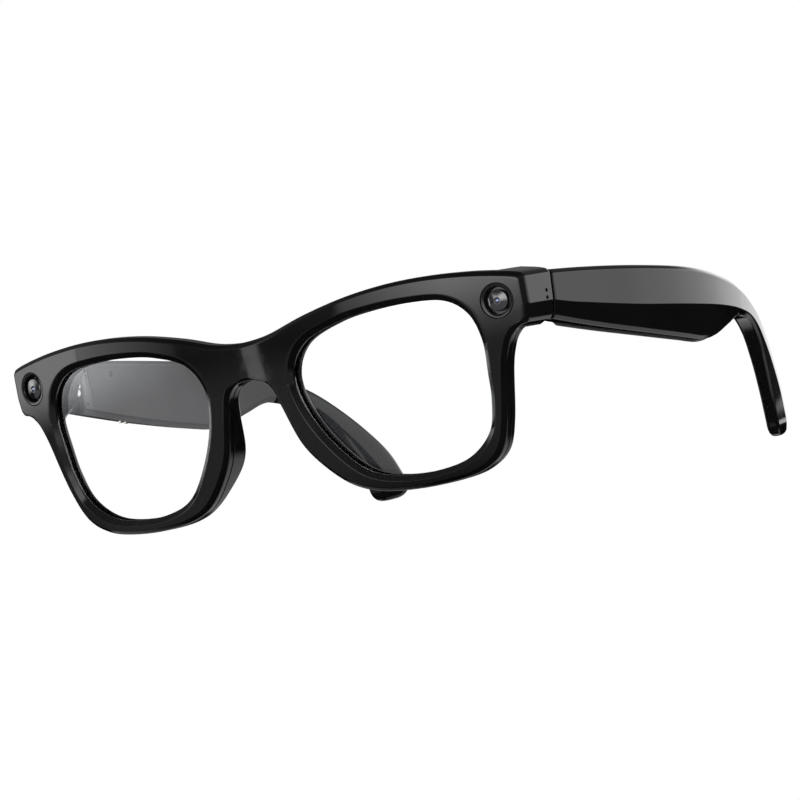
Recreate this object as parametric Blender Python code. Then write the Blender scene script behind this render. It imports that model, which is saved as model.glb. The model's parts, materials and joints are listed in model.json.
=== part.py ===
"""Smart glasses: camera glasses with a two-shell front and two folding, hollow temples.

Lengths below are in millimetres and are turned into metres when a mesh is made.
The front is modelled in its own upright axes (x across, y back, z up) and leans
against the temples by PANTO_TILT. The whole is then turned by REST_TILT, so that
the rims and the ear tips stand on the same flat surface.
"""
import math

import bmesh
import bpy
import numpy as np
from mathutils import Matrix, Vector

MM = 0.001
GAP = 0.3                     # clearance between neighbouring pieces

# Placing
PANTO_TILT = math.radians(5.5)
REST_TILT = math.radians(3.1)

# Front surface: a base curve across, and a lean that grows towards the cheeks
BASE_CURVE = 0.0013
WRAP_CURVE = 3.4e-8
LEAN_CURVE = 0.00302
LEAN_TOP = 17.0

# Rim section, measured back from the front surface
SHELL_SPLIT = 2.4             # rear of the front shell
RIM_DEPTH = 5.0
LIP_DEPTH = 1.6               # front lip that holds the lens
LIP_BEVEL = 0.9
FACE_BEVEL = 1.3              # width of the sloping band next to the lens
EDGE_CHAMFER = 0.9
GROOVE = 1.5                  # how far the lens groove runs into the rim
LENS_OVERLAP = 1.0
LENS_THICK = 1.0
NOSE_PAD_RISE = 3.2
NOSE_PAD_AT = (13.0, -7.0)
NOSE_PAD_SPREAD = 7.0

# Lens opening of the wearer's left eye, and the rim's outline from the bridge round to the brow
LENS_CENTRE = (38.2, 0.0)
OPENING = [(60.8, 0.0), (61.2, 7.0), (59.2, 13.2), (54.0, 17.0), (45.0, 18.0), (35.0, 17.8),
           (26.0, 16.6), (17.0, 13.4), (12.8, 7.2), (13.9, -0.8), (18.4, -9.2), (25.0, -16.3),
           (33.0, -19.0), (43.0, -19.3), (51.5, -17.6), (57.6, -12.9), (60.0, -6.4)]
LOWER_OUTLINE = [(0.0, 7.6), (3.4, 7.2), (6.0, 5.0), (7.6, 0.3), (10.4, -8.3), (14.6, -14.2),
                 (20.3, -19.2), (27.2, -21.8), (37.2, -22.7), (47.0, -22.3), (54.0, -20.9),
                 (59.4, -17.4), (62.6, -10.6), (65.4, 0.3), (66.5, 3.6), (67.8, 6.3), (69.6, 8.2)]
ENDPIECE_UNDERSIDE = [(69.6, 8.2), (70.9, 8.8), (72.3, 9.1), (73.1, 10.0)]
ENDPIECE_LOWER_SIDE = [(73.1, 10.0), (73.6, 13.1)]
ENDPIECE_UPPER_SIDE = [(73.6, 13.1), (73.6, 19.2)]
ENDPIECE_TOP = [(73.6, 19.2), (72.9, 20.0), (70.6, 20.7), (66.3, 21.5)]
UPPER_OUTLINE = [(66.3, 21.5), (59.6, 22.4), (50.0, 23.1), (40.0, 23.0), (29.2, 21.9),
                 (18.0, 19.7), (9.2, 17.3), (4.5, 16.5), (0.0, 16.2)]
LOWER_SAMPLES = 40
UPPER_SAMPLES = 20

# Endpiece
ENDPIECE_BACK = 17.0          # plane where the front ends, across the temples' length
ENDPIECE_WALL = 1.6
BLOCK_INSET = 2.0             # rear frame's block starts this far from the lens opening
STEP_GAP = 0.5                # from the rear rim's sides to the endpiece, along the outline

# Camera in each endpiece
CAMERA_AT = (66.9, 14.9)
CAMERA_TOE_OUT = math.radians(11.0)
RECESS_R = 3.9
BEZEL_R = 3.6
WINDOW_R = 2.4
MODULE_R = 2.7
MODULE_POCKET_R = 3.2

# Hinge of each temple
HINGE_X = 66.8
HINGE_Y = 18.9
KNUCKLE_R = 1.6
PIN_R = 0.7
PIN_CLEARANCE = 0.05
KNUCKLE_LEVELS = [13.6, 15.3, 15.6, 17.3, 17.6, 19.3]

# Temple: stations along it, each (top y, top z, bottom y, bottom z), and the crease's distance
# down from the top edge as (top y, distance)
TEMPLE_START = 17.9
TEMPLE_RUN = [(17.9, 21.6, 17.9, 10.4), (29.0, 22.1, 29.0, 9.1), (42.0, 22.4, 42.0, 7.8),
              (56.0, 22.4, 56.0, 6.6), (67.0, 22.2, 67.0, 5.8), (75.0, 21.7, 75.0, 5.4),
              (82.0, 20.9, 81.5, 6.5), (89.0, 19.8, 88.2, 9.0), (95.0, 18.4, 94.6, 11.2),
              (101.6, 16.2, 102.0, 10.4), (108.6, 12.9, 107.9, 6.9), (115.3, 8.2, 111.9, 2.2),
              (121.3, 2.8, 115.5, -2.6), (126.8, -3.5, 118.6, -7.2), (130.6, -11.0, 121.5, -12.3)]
TIP_CAP = 3.6                 # rounded end beyond the last station
TIP_FULLNESS = 0.6            # below 1, the end is blunter than an ellipse
TEMPLE_MIDDLE = [(17.0, 70.2), (34.0, 71.5), (50.0, 72.8), (66.0, 73.3), (80.0, 72.4),
                 (94.0, 69.8), (105.0, 66.6), (115.0, 62.9), (125.0, 58.6), (132.0, 55.4)]
TEMPLE_HALF_FRONT = 3.2
TEMPLE_HALF_TIP = 2.4
CREASE_RUN = [(18.0, 6.9), (27.0, 7.9), (45.0, 8.9), (60.0, 8.9), (72.5, 8.4), (85.0, 7.0),
              (93.5, 5.7), (102.0, 4.2), (110.0, 3.6), (120.0, 3.0), (130.0, 2.6)]
FACET_SLOPE = 0.22            # how far the lower facet falls away below the crease
EDGE_ROUND = 0.9
FOOT_CHAMFER = 0.75           # chamfer along the outer shell's bottom edge
FOOT_RISE = 0.35              # how far that edge stays above the cover's
SHELL_PART = 0.70             # parting of the outer shell, as a share of the thickness
WALL = 1.4
COVER_START = 24.1
COVER_END = 97.0
CAVITY_START = 26.0
CAVITY_END = 90.0

# Small parts
BUTTON_AT = 34.0
BUTTON_LENGTH = 7.0
CONTACT_AT = (42.5, 44.7)
CONTACT_IN = 2.95             # inward from the outer face
CONTACT_R = 0.5
CONTACT_CLEARANCE = 0.2
CONTACT_PROUD = 0.1
PORT_LEVELS = (15.2, 16.8)    # two microphone ports in the side of each endpiece
PORT_Y = 14.8
PORT_R = 0.45
MICROPHONE_SIZE = (0.9, 2.2, 3.4)
SCREW_R = 0.45
SCREW_HEAD_R = 0.85
SCREW_AT = (22.0, 14.45)
LIGHT_AT = (36.4, 19.0)
LIGHT_R = 0.5
FLEX_ROUTE = [(0.0, 12.2), (8.0, 13.2), (16.0, 17.2), (24.0, 19.2), (36.0, 20.7), (50.0, 21.0),
              (61.0, 19.6)]


def clear_scene():
    for obj in list(bpy.data.objects):
        bpy.data.objects.remove(obj, do_unlink=True)


def make_material(name, colour, roughness, metallic=0.0, alpha=1.0):
    material = bpy.data.materials.new(name)
    material.use_nodes = True
    shader = material.node_tree.nodes["Principled BSDF"]
    shader.inputs["Base Color"].default_value = (*colour, 1.0)
    shader.inputs["Roughness"].default_value = roughness
    shader.inputs["Metallic"].default_value = metallic
    shader.inputs["Alpha"].default_value = alpha
    return material


def make_object(name, mesh_data, material, parent=None):
    """Turn a bmesh in millimetres into a named object under its parent."""
    bmesh.ops.remove_doubles(mesh_data, verts=mesh_data.verts, dist=0.002)
    bmesh.ops.dissolve_degenerate(mesh_data, edges=mesh_data.edges, dist=0.001)
    bmesh.ops.recalc_face_normals(mesh_data, faces=mesh_data.faces)
    bmesh.ops.scale(mesh_data, verts=mesh_data.verts, vec=(MM, MM, MM))
    mesh = bpy.data.meshes.new(name)
    mesh_data.to_mesh(mesh)
    mesh_data.free()
    mesh.shade_smooth()
    mesh.set_sharp_from_angle(angle=math.radians(35))
    mesh.materials.append(material)
    obj = bpy.data.objects.new(name, mesh)
    bpy.context.collection.objects.link(obj)
    obj.parent = parent
    return obj


def make_empty(name, parent=None, location=(0, 0, 0), rotation=(0, 0, 0)):
    empty = bpy.data.objects.new(name, None)
    bpy.context.collection.objects.link(empty)
    empty.parent = parent
    empty.location = Vector(location) * MM
    empty.rotation_euler = rotation
    return empty


def boolean(target, tool, operation):
    """Cut or join a tool; the tool stays as a hidden wire guide."""
    modifier = target.modifiers.new(tool.name, "BOOLEAN")
    modifier.operation = operation
    modifier.solver = "EXACT"
    modifier.object = tool
    tool.hide_render = True
    tool.display_type = "WIRE"


def grid_faces(mesh_data, rows, closed_ring=True, closed_path=False, keep=None):
    """Skin a list of rings, each a list of points, with quads."""
    verts = [[mesh_data.verts.new(point) for point in row] for row in rows]
    count = len(rows[0])
    last = len(rows) if closed_path else len(rows) - 1
    for i in range(last):
        here, there = verts[i], verts[(i + 1) % len(rows)]
        for j in range(count if closed_ring else count - 1):
            quad = (here[j], here[(j + 1) % count], there[(j + 1) % count], there[j])
            if keep is None or keep(quad):
                mesh_data.faces.new(quad)
    return verts


def catmull_rom(points, samples, closed=False):
    """Smooth curve through the points, sampled evenly along its length."""
    points = np.array(points, float)
    if closed:
        padded = np.vstack([points[-1], points, points[:2]])
    else:
        padded = np.vstack([2 * points[0] - points[1], points, 2 * points[-1] - points[-2]])
    steps = np.linspace(0, 1, 24, endpoint=False)[:, None]
    pieces = []
    for a, b, c, d in zip(padded, padded[1:], padded[2:], padded[3:]):
        curve = 2 * b + (c - a) * steps + (2 * a - 5 * b + 4 * c - d) * steps**2
        pieces.append((curve + (3 * b - a - 3 * c + d) * steps**3) / 2)
    pieces.append(padded[-2:-1])
    dense = np.vstack(pieces)
    travel = np.concatenate([[0], np.cumsum(np.linalg.norm(np.diff(dense, axis=0), axis=1))])
    wanted = np.linspace(0, travel[-1], samples, endpoint=not closed)
    return np.stack([np.interp(wanted, travel, dense[:, k]) for k in range(points.shape[1])], 1)


def face_depth(x, z):
    """How far back the front surface lies at a place on the front."""
    return BASE_CURVE * x * x + WRAP_CURVE * x**4 + LEAN_CURVE * (z - LEAN_TOP) ** 2


def front_point(place, back):
    x, z = float(place[0]), float(place[1])
    return (x, face_depth(x, z) + back, z)


def endpiece_back(place):
    """Depth behind the front surface of the upright plane that ends the endpiece."""
    x, z = place
    plane = (ENDPIECE_BACK + z * math.sin(PANTO_TILT)) / math.cos(PANTO_TILT)
    return plane - face_depth(x, z)


# ---------------------------------------------------------------- front


def opening_lookup():
    """The lens opening as angle, radius pairs about the lens centre."""
    curve = catmull_rom(OPENING, 400, closed=True) - np.array(LENS_CENTRE)
    angle = np.unwrap(np.arctan2(curve[:, 1], curve[:, 0]))
    order = np.argsort(angle)
    return angle[order], np.linalg.norm(curve, axis=1)[order]


OPENING_ANGLE, OPENING_RADIUS = opening_lookup()


def opening_point(angle, grow=0.0):
    """Point of the opening at an angle, moved out square to its edge by grow."""
    def at(a):
        r = np.interp(a, OPENING_ANGLE, OPENING_RADIUS, period=2 * math.pi)
        return np.array([LENS_CENTRE[0] + r * math.cos(a), LENS_CENTRE[1] + r * math.sin(a)])
    tangent = at(angle + 0.03) - at(angle - 0.03)
    outward = np.array([tangent[1], -tangent[0]]) / np.linalg.norm(tangent)
    return at(angle) + outward * grow


def unit(vector):
    return vector / np.linalg.norm(vector)


def run_normals(points):
    """Unit normals of an open run of the outline, pointing into the rim."""
    tangent = np.gradient(points, axis=0)
    tangent[0] = points[1] - points[0]
    tangent[-1] = points[-1] - points[-2]
    normal = np.stack([-tangent[:, 1], tangent[:, 0]], 1)
    return normal / np.linalg.norm(normal, axis=1)[:, None]


def rim_columns(step_gap=0.0):
    """Columns round one rim: outline point, inward direction, angle, and if it is on the endpiece.

    The columns next to the endpiece stop short of it by step_gap.
    """
    runs = [(LOWER_OUTLINE, LOWER_SAMPLES, False), (ENDPIECE_UNDERSIDE, 5, True), (ENDPIECE_LOWER_SIDE, 3, True),
            (ENDPIECE_UPPER_SIDE, 3, True), (ENDPIECE_TOP, 5, True), (UPPER_OUTLINE, UPPER_SAMPLES, False)]
    columns = []
    for points, samples, on_endpiece in runs:
        curve = catmull_rom(points, samples)
        normals = run_normals(curve)
        if points is LOWER_OUTLINE:
            normals[0] = (0.0, 1.0)
        if points is UPPER_OUTLINE:
            normals[-1] = (0.0, -1.0)
        columns += [[p, n, on_endpiece] for p, n in zip(curve, normals)]
    columns = miter_corners(columns)
    for last, before in ((LOWER_SAMPLES - 1, -1), (len(columns) - UPPER_SAMPLES, 1)):
        columns[last][0] += step_gap * unit(columns[last + before][0] - columns[last][0])
    bridge = np.linspace(UPPER_OUTLINE[-1][1], LOWER_OUTLINE[0][1], 6)[1:-1]
    columns += [[np.array([0.0, z]), np.array([0.0, 0.0]), False] for z in bridge]
    angles = [math.atan2(p[1] - LENS_CENTRE[1], p[0] - LENS_CENTRE[0]) for p, _, _ in columns]
    angles = np.maximum.accumulate(np.unwrap(angles))
    return [(p, n, a, e) for (p, n, e), a in zip(columns, angles)]


def miter_corners(columns):
    """Share one corner direction between the last and first columns of two runs that meet."""
    for here, there in zip(columns, columns[1:]):
        if np.linalg.norm(here[0] - there[0]) < 1e-6:
            total = here[1] + there[1]
            shared = total / (1 + float(here[1] @ there[1]))
            here[1] = shared
            there[1] = shared
    return columns


def build_rim(section, name, material, parent, step_gap=0.0):
    """Sweep a section round one rim, mirror it and join both at the bridge."""
    mesh_data = bmesh.new()
    rows = [section(*column) for column in rim_columns(step_gap)]

    def keep(quad):
        return max(abs(vert.co.x) for vert in quad) > 1e-4

    grid_faces(mesh_data, rows, closed_path=True, keep=keep)
    copy = bmesh.ops.duplicate(mesh_data, geom=mesh_data.faces[:] + mesh_data.verts[:])
    for item in copy["geom"]:
        if isinstance(item, bmesh.types.BMVert):
            item.co.x = -item.co.x
    return make_object(name, mesh_data, material, parent)


def front_shell_section(edge, inward, angle, on_endpiece):
    at_bridge = not inward.any()
    chamfer = 0.0 if at_bridge else EDGE_CHAMFER
    back = endpiece_back(edge) if on_endpiece else SHELL_SPLIT
    wall = edge + inward * ENDPIECE_WALL
    wall_back = endpiece_back(wall) if on_endpiece else SHELL_SPLIT
    return [front_point(opening_point(angle), LIP_BEVEL),
            front_point(opening_point(angle, FACE_BEVEL), 0.0),
            front_point(edge + inward * chamfer, 0.0),
            front_point(edge, chamfer),
            front_point(edge, back),
            front_point(wall, wall_back),
            front_point(wall, SHELL_SPLIT),
            front_point(opening_point(angle, GROOVE), SHELL_SPLIT),
            front_point(opening_point(angle, GROOVE), LIP_DEPTH),
            front_point(opening_point(angle), LIP_DEPTH)]


def pad_rise(place):
    """Extra depth of the moulded nose pad."""
    away = math.hypot(place[0] - NOSE_PAD_AT[0], (place[1] - NOSE_PAD_AT[1]) * 0.7)
    return NOSE_PAD_RISE * math.exp(-((away / NOSE_PAD_SPREAD) ** 2))


def rear_shell_section(edge, inward, angle, on_endpiece):
    at_bridge = not inward.any()
    chamfer = 0.0 if at_bridge else EDGE_CHAMFER
    split = SHELL_SPLIT + GAP
    outer = edge + inward * (ENDPIECE_WALL + GAP) if on_endpiece else edge
    inner = outer + inward * chamfer
    rise = pad_rise(inner) if not on_endpiece else 0.0
    outer_back = endpiece_back(outer) if on_endpiece else RIM_DEPTH - chamfer + rise
    inner_back = endpiece_back(inner) if on_endpiece else RIM_DEPTH + rise
    block = opening_point(angle, BLOCK_INSET + 1.0)
    block_back = endpiece_back(block) if on_endpiece else RIM_DEPTH + pad_rise(block) * 0.6
    return [front_point(opening_point(angle), RIM_DEPTH - LIP_BEVEL),
            front_point(opening_point(angle), LIP_DEPTH + LENS_THICK + 2 * GAP),
            front_point(opening_point(angle, GROOVE), LIP_DEPTH + LENS_THICK + 2 * GAP),
            front_point(opening_point(angle, GROOVE), split),
            front_point(outer, split),
            front_point(outer, outer_back),
            front_point(inner, inner_back),
            front_point(block, block_back),
            front_point(opening_point(angle, BLOCK_INSET), RIM_DEPTH)]


def build_lens(name, side, material, parent):
    """A thin curved plate that follows the front surface and sits in the groove."""
    mesh_data = bmesh.new()
    angles = np.linspace(0, 2 * math.pi, 48, endpoint=False)
    centre = np.array(LENS_CENTRE)
    front = LIP_DEPTH + GAP
    sheets = []
    for back in (front, front + LENS_THICK):
        rings = []
        for share in (1.0, 0.66, 0.33):
            ring = [centre + (opening_point(a, LENS_OVERLAP) - centre) * share for a in angles]
            rings.append([front_point(p, back) for p in ring])
        sheets.append((rings, mesh_data.verts.new(front_point(centre, back))))
    front_rows = grid_faces(mesh_data, sheets[0][0])
    back_rows = grid_faces(mesh_data, sheets[1][0])
    count = len(angles)
    for j in range(count):
        k = (j + 1) % count
        mesh_data.faces.new((front_rows[0][j], front_rows[0][k], back_rows[0][k], back_rows[0][j]))
        mesh_data.faces.new((front_rows[-1][j], front_rows[-1][k], sheets[0][1]))
        mesh_data.faces.new((back_rows[-1][j], back_rows[-1][k], sheets[1][1]))
    mirror_x(mesh_data, side)
    return make_object(name, mesh_data, material, parent)


def mirror_x(mesh_data, side):
    if side < 0:
        bmesh.ops.scale(mesh_data, verts=mesh_data.verts, vec=(-1, 1, 1))


def turned(profile, segments=24):
    """Revolve (radius, back) points about the local y axis; a radius of 0 closes an end."""
    mesh_data = bmesh.new()
    rows = []
    for k in range(segments):
        a = 2 * math.pi * k / segments
        rows.append([(r * math.cos(a), y, r * math.sin(a)) for r, y in profile])
    closed_ring = profile[0][0] > 0
    grid_faces(mesh_data, rows, closed_ring=closed_ring, closed_path=True)
    return mesh_data


def box(low, high):
    mesh_data = bmesh.new()
    size = [b - a for a, b in zip(low, high)]
    centre = [(a + b) / 2 for a, b in zip(low, high)]
    matrix = Matrix.Translation(centre) @ Matrix.Diagonal((*size, 1.0))
    bmesh.ops.create_cube(mesh_data, size=1.0, matrix=matrix)
    return mesh_data


def upright_prism(outline, low, high):
    """Extrude an outline in x and y from one level to another."""
    mesh_data = bmesh.new()
    rows = [[(x, y, z) for x, y in outline] for z in (low, high)]
    verts = grid_faces(mesh_data, rows)
    mesh_data.faces.new(verts[0])
    mesh_data.faces.new(verts[1])
    return mesh_data


def circle(centre, radius, segments, start=0.0, sweep=2 * math.pi, endpoint=False):
    steps = segments if not endpoint else segments - 1
    return [(centre[0] + radius * math.cos(start + sweep * k / steps),
             centre[1] + radius * math.sin(start + sweep * k / steps)) for k in range(segments)]


def build_camera(side, label, parent, mats, front_frame, rear_frame):
    """Bezel, window and camera module in one endpiece, with their bores."""
    x, z = CAMERA_AT
    place = (side * x, face_depth(x, z), z)
    seat = make_empty(f"camera_seat_{label}", parent, place, (0, 0, side * CAMERA_TOE_OUT))
    opening = turned([(0, -4), (RECESS_R, -4), (RECESS_R, 4), (0, 4)])
    recess = make_object(f"recess_cutter_{label}", opening, mats["shell"], seat)
    boolean(front_frame, recess, "DIFFERENCE")
    hollow = turned([(0, -1), (MODULE_POCKET_R, -1), (MODULE_POCKET_R, 6.9), (0, 6.9)])
    pocket = make_object(f"pocket_cutter_{label}", hollow, mats["shell"], seat)
    boolean(rear_frame, pocket, "DIFFERENCE")
    inner = WINDOW_R + GAP
    bezel = [(BEZEL_R, 0.5), (BEZEL_R - 0.5, 0.1), (inner + 0.4, 0.5), (inner, 0.9), (inner, 1.9),
             (BEZEL_R, 1.9)]
    make_object(f"camera_bezel_{label}", turned(bezel), mats["bezel"], seat)
    window = [(0, 0.35), (WINDOW_R * 0.5, 0.5), (WINDOW_R * 0.85, 0.8), (WINDOW_R, 1.1),
              (WINDOW_R, 1.8), (0, 1.8)]
    make_object(f"camera_window_{label}", turned(window), mats["glass"], seat)
    module = [(0, 2.3), (MODULE_R, 2.3), (MODULE_R, 6.4), (0, 6.4)]
    make_object(f"camera_module_{label}", turned(module), mats["sensor"], seat)


# ---------------------------------------------------------------- temples


def temple_middle(y):
    curve = catmull_rom(TEMPLE_MIDDLE, 120)
    return float(np.interp(y, curve[:, 0], curve[:, 1]))


def temple_half(y):
    share = min(max((y - TEMPLE_START) / 100.0, 0.0), 1.0)
    return TEMPLE_HALF_FRONT + (TEMPLE_HALF_TIP - TEMPLE_HALF_FRONT) * share


def temple_stations(samples=30):
    """Smooth stations along the temple: arrays of (top y, top z, bottom y, bottom z)."""
    return catmull_rom(TEMPLE_RUN, samples)


def station_at(y):
    dense = catmull_rom(TEMPLE_RUN, 240)
    return np.array([np.interp(y, dense[:, 0], dense[:, k]) for k in range(4)])


def rung_point(station, down, inward_mm, side):
    """Point at a distance down from the top edge and inward from the outer face."""
    top, bottom = station[:2], station[2:]
    height = np.linalg.norm(bottom - top)
    y, z = top + (bottom - top) * (down / height)
    outer = temple_middle(y) + temple_half(y)
    return (side * (outer - inward_mm), float(y), float(z))


def rung_height(station):
    return float(np.linalg.norm(station[2:] - station[:2]))


CREASE_CURVE = catmull_rom(CREASE_RUN, 120)


def crease_down(station):
    return float(np.interp(station[0], CREASE_CURVE[:, 0], CREASE_CURVE[:, 1]))


def shell_ring(station, side, start, end, cap=1.0):
    """Section of the outer shell; between start and end it is an open tray, else solid."""
    height = rung_height(station)
    thick = 2 * temple_half(station[0])
    y = station[0]
    full = y > COVER_END + GAP
    part = thick if full else thick * SHELL_PART
    hollow = start < y < end
    cut = WALL if hollow else part
    crease = crease_down(station)
    foot = height - FOOT_RISE
    fall = (foot - FOOT_CHAMFER - crease) * FACET_SLOPE
    inner_round = EDGE_ROUND if full else 0.0
    points = [(0.0, EDGE_ROUND), (EDGE_ROUND, 0.0), (crease, 0.0), (foot - FOOT_CHAMFER, fall),
              (foot, fall + FOOT_CHAMFER), (foot, part - inner_round), (height - WALL, part),
              (height - WALL, cut + fall if hollow else part), (crease, cut), (WALL, cut), (WALL, part),
              (0.0, part - inner_round)]
    middle_down, middle_in = height / 2, thick / 2
    shrunk = [(middle_down + (d - middle_down) * cap, middle_in + (u - middle_in) * cap) for d, u in points]
    return [rung_point(station, d, u, side) for d, u in shrunk]


def tip_stations(last):
    """Stations of the blunt rounded end beyond the last station, each with its size."""
    direction = np.array([last[1] - last[3], -(last[0] - last[2])])
    direction = direction / np.linalg.norm(direction)
    if direction[1] > 0:
        direction = -direction
    ends = []
    for turn in (0.3, 0.6, 0.8, 0.94):
        shift = direction * TIP_CAP * math.sin(turn * math.pi / 2)
        ends.append((last + np.concatenate([shift, shift]), math.cos(turn * math.pi / 2) ** TIP_FULLNESS))
    return ends


def build_temple_shell(name, side, material, parent):
    marks = [TEMPLE_START, CAVITY_START - 0.01, CAVITY_START + 0.01, CAVITY_END - 0.01,
             CAVITY_END + 0.01, COVER_END + GAP - 0.01, COVER_END + GAP + 0.01]
    samples = temple_stations()
    ys = sorted(set(list(samples[:, 0]) + marks))
    stations = [station_at(y) for y in ys]
    rows = [shell_ring(s, side, CAVITY_START, CAVITY_END) for s in stations]
    rows += [shell_ring(s, side, CAVITY_START, CAVITY_END, cap) for s, cap in tip_stations(stations[-1])]
    mesh_data = bmesh.new()
    verts = grid_faces(mesh_data, rows)
    mesh_data.faces.new(verts[0])
    mesh_data.faces.new(verts[-1])
    shift_to(mesh_data, side)
    return make_object(name, mesh_data, material, parent)


def temple_strip(name, side, span, down, depth, material, parent, chamfer=0.0, steps=8):
    """A block that follows the temple: span in y, down from the top or up from the bottom, depth in."""
    rows = []
    for y in np.linspace(span[0], span[1], steps):
        station = station_at(y)
        height = rung_height(station)
        top, bottom = down[0], height - down[1]
        near, far = depth(y)
        ring = [(top, near), (bottom, near), (bottom, far - chamfer), (bottom - chamfer, far),
                (top + chamfer, far), (top, far - chamfer)]
        rows.append([rung_point(station, d, u, side) for d, u in ring])
    mesh_data = bmesh.new()
    verts = grid_faces(mesh_data, rows)
    mesh_data.faces.new(verts[0])
    mesh_data.faces.new(verts[-1])
    shift_to(mesh_data, side)
    return make_object(name, mesh_data, material, parent)


def shift_to(mesh_data, side):
    """Move temple geometry so that the hinge axis is its origin."""
    bmesh.ops.translate(mesh_data, verts=mesh_data.verts, vec=(-side * HINGE_X, -HINGE_Y, 0))


def cover_depth(y):
    thick = 2 * temple_half(y)
    return thick * SHELL_PART + GAP, thick


def inside_depth(near, far):
    return lambda y: (near, far)


def place_box(name, side, low, high, material, parent):
    """A box given at the wearer's left, mirrored to its side, in a temple's hinge axes."""
    mesh_data = box(low, high)
    mirror_x(mesh_data, side)
    shift_to(mesh_data, side)
    return make_object(name, mesh_data, material, parent)


def build_temple_leaf(side, label, parent, mats):
    """Centre knuckle, arm and screwed plate as one profile."""
    plate_outer = temple_middle(21.0) + temple_half(21.0) - 2 * temple_half(21.0) * SHELL_PART - GAP
    plate_inner = plate_outer - 1.2
    barrel = circle((HINGE_X, HINGE_Y), KNUCKLE_R, 17, math.radians(75), math.radians(240), True)
    outline = barrel + [(plate_outer, HINGE_Y - 0.6), (plate_outer, COVER_START - 0.5),
                        (plate_inner, COVER_START - 0.5), (plate_inner, HINGE_Y + 1.5)]
    low, high = KNUCKLE_LEVELS[2], KNUCKLE_LEVELS[3]
    mesh_data = upright_prism(outline, low, high)
    mirror_x(mesh_data, side)
    shift_to(mesh_data, side)
    leaf = make_object(f"temple_hinge_leaf_{label}", mesh_data, mats["steel"], parent)
    bore = pin_cutter(f"temple_pin_bore_{label}", side, mats, parent)
    boolean(leaf, bore, "DIFFERENCE")
    return leaf, plate_inner, plate_outer


def build_leaf_screw(side, label, parent, mats, leaf, faces, shell):
    """Screw that holds the hinge leaf's plate to the outer shell."""
    plate_inner, plate_outer = faces
    y, z = SCREW_AT
    place = (side * (plate_inner - HINGE_X), y - HINGE_Y, z)
    seat = make_empty(f"screw_seat_{label}", parent, place, (0, 0, -side * math.radians(90)))
    tip = plate_outer - plate_inner + 2.2
    screw = [(0, -0.5), (SCREW_HEAD_R, -0.5), (SCREW_HEAD_R, -0.05), (SCREW_R, -0.05), (SCREW_R, tip),
             (0, tip)]
    bore_r = SCREW_R + 0.15
    bore = [(0, -2), (bore_r, -2), (bore_r, tip + GAP), (0, tip + GAP)]
    cutter = make_object(f"screw_bore_{label}", turned(bore, 12), mats["steel"], seat)
    boolean(leaf, cutter, "DIFFERENCE")
    boolean(shell, cutter, "DIFFERENCE")
    make_object(f"hinge_screw_{label}", turned(screw, 12), mats["steel"], seat)


def pin_mesh(radius, low, high, side, segments=20):
    mesh_data = upright_prism(circle((HINGE_X, HINGE_Y), radius, segments), low, high)
    mirror_x(mesh_data, side)
    shift_to(mesh_data, side)
    return mesh_data


def pin_cutter(name, side, mats, parent):
    levels = KNUCKLE_LEVELS
    cutter = pin_mesh(PIN_R + PIN_CLEARANCE, levels[0] - 1, levels[-1] + 1, side)
    return make_object(name, cutter, mats["steel"], parent)


def build_front_leaf(side, label, parent, mats, rear_frame):
    """Two knuckles on a plate that sits in a slot of the endpiece."""
    levels = KNUCKLE_LEVELS
    half = 0.9
    plate_back, plate_front = HINGE_Y - 2.4, 13.4
    leaf = place_box(f"front_hinge_leaf_{label}", side, (HINGE_X - half, plate_front, levels[0]),
                     (HINGE_X + half, plate_back, levels[-1]), mats["steel"], parent)
    outline = circle((HINGE_X, HINGE_Y), KNUCKLE_R, 17, math.radians(-35), math.radians(250), True)
    outline += [(HINGE_X - half, plate_back - 1.0), (HINGE_X + half, plate_back - 1.0)]
    for k, (low, high) in enumerate(((levels[0], levels[1]), (levels[4], levels[5]))):
        mesh_data = upright_prism(outline, low, high)
        mirror_x(mesh_data, side)
        shift_to(mesh_data, side)
        knuckle = make_object(f"knuckle_{k}_{label}", mesh_data, mats["steel"], parent)
        boolean(leaf, knuckle, "UNION")
    boolean(leaf, pin_cutter(f"front_pin_bore_{label}", side, mats, parent), "DIFFERENCE")
    slot = place_box(f"leaf_slot_{label}", side,
                     (HINGE_X - half - GAP, plate_front - GAP, levels[0] - GAP),
                     (HINGE_X + half + GAP, HINGE_Y, levels[-1] + GAP), mats["steel"], parent)
    boolean(rear_frame, slot, "DIFFERENCE")


def build_pin(side, label, parent, mats):
    """Screw pin with a head, held in the front knuckles."""
    levels = KNUCKLE_LEVELS
    top = levels[-1] + GAP
    shaft = pin_mesh(PIN_R, levels[0], top + 0.3, side)
    head = pin_mesh(KNUCKLE_R * 0.8, top, top + 0.7, side)
    pin = make_object(f"hinge_pin_{label}", shaft, mats["steel"], parent)
    boolean(pin, make_object(f"pin_head_{label}", head, mats["steel"], parent), "UNION")


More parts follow.
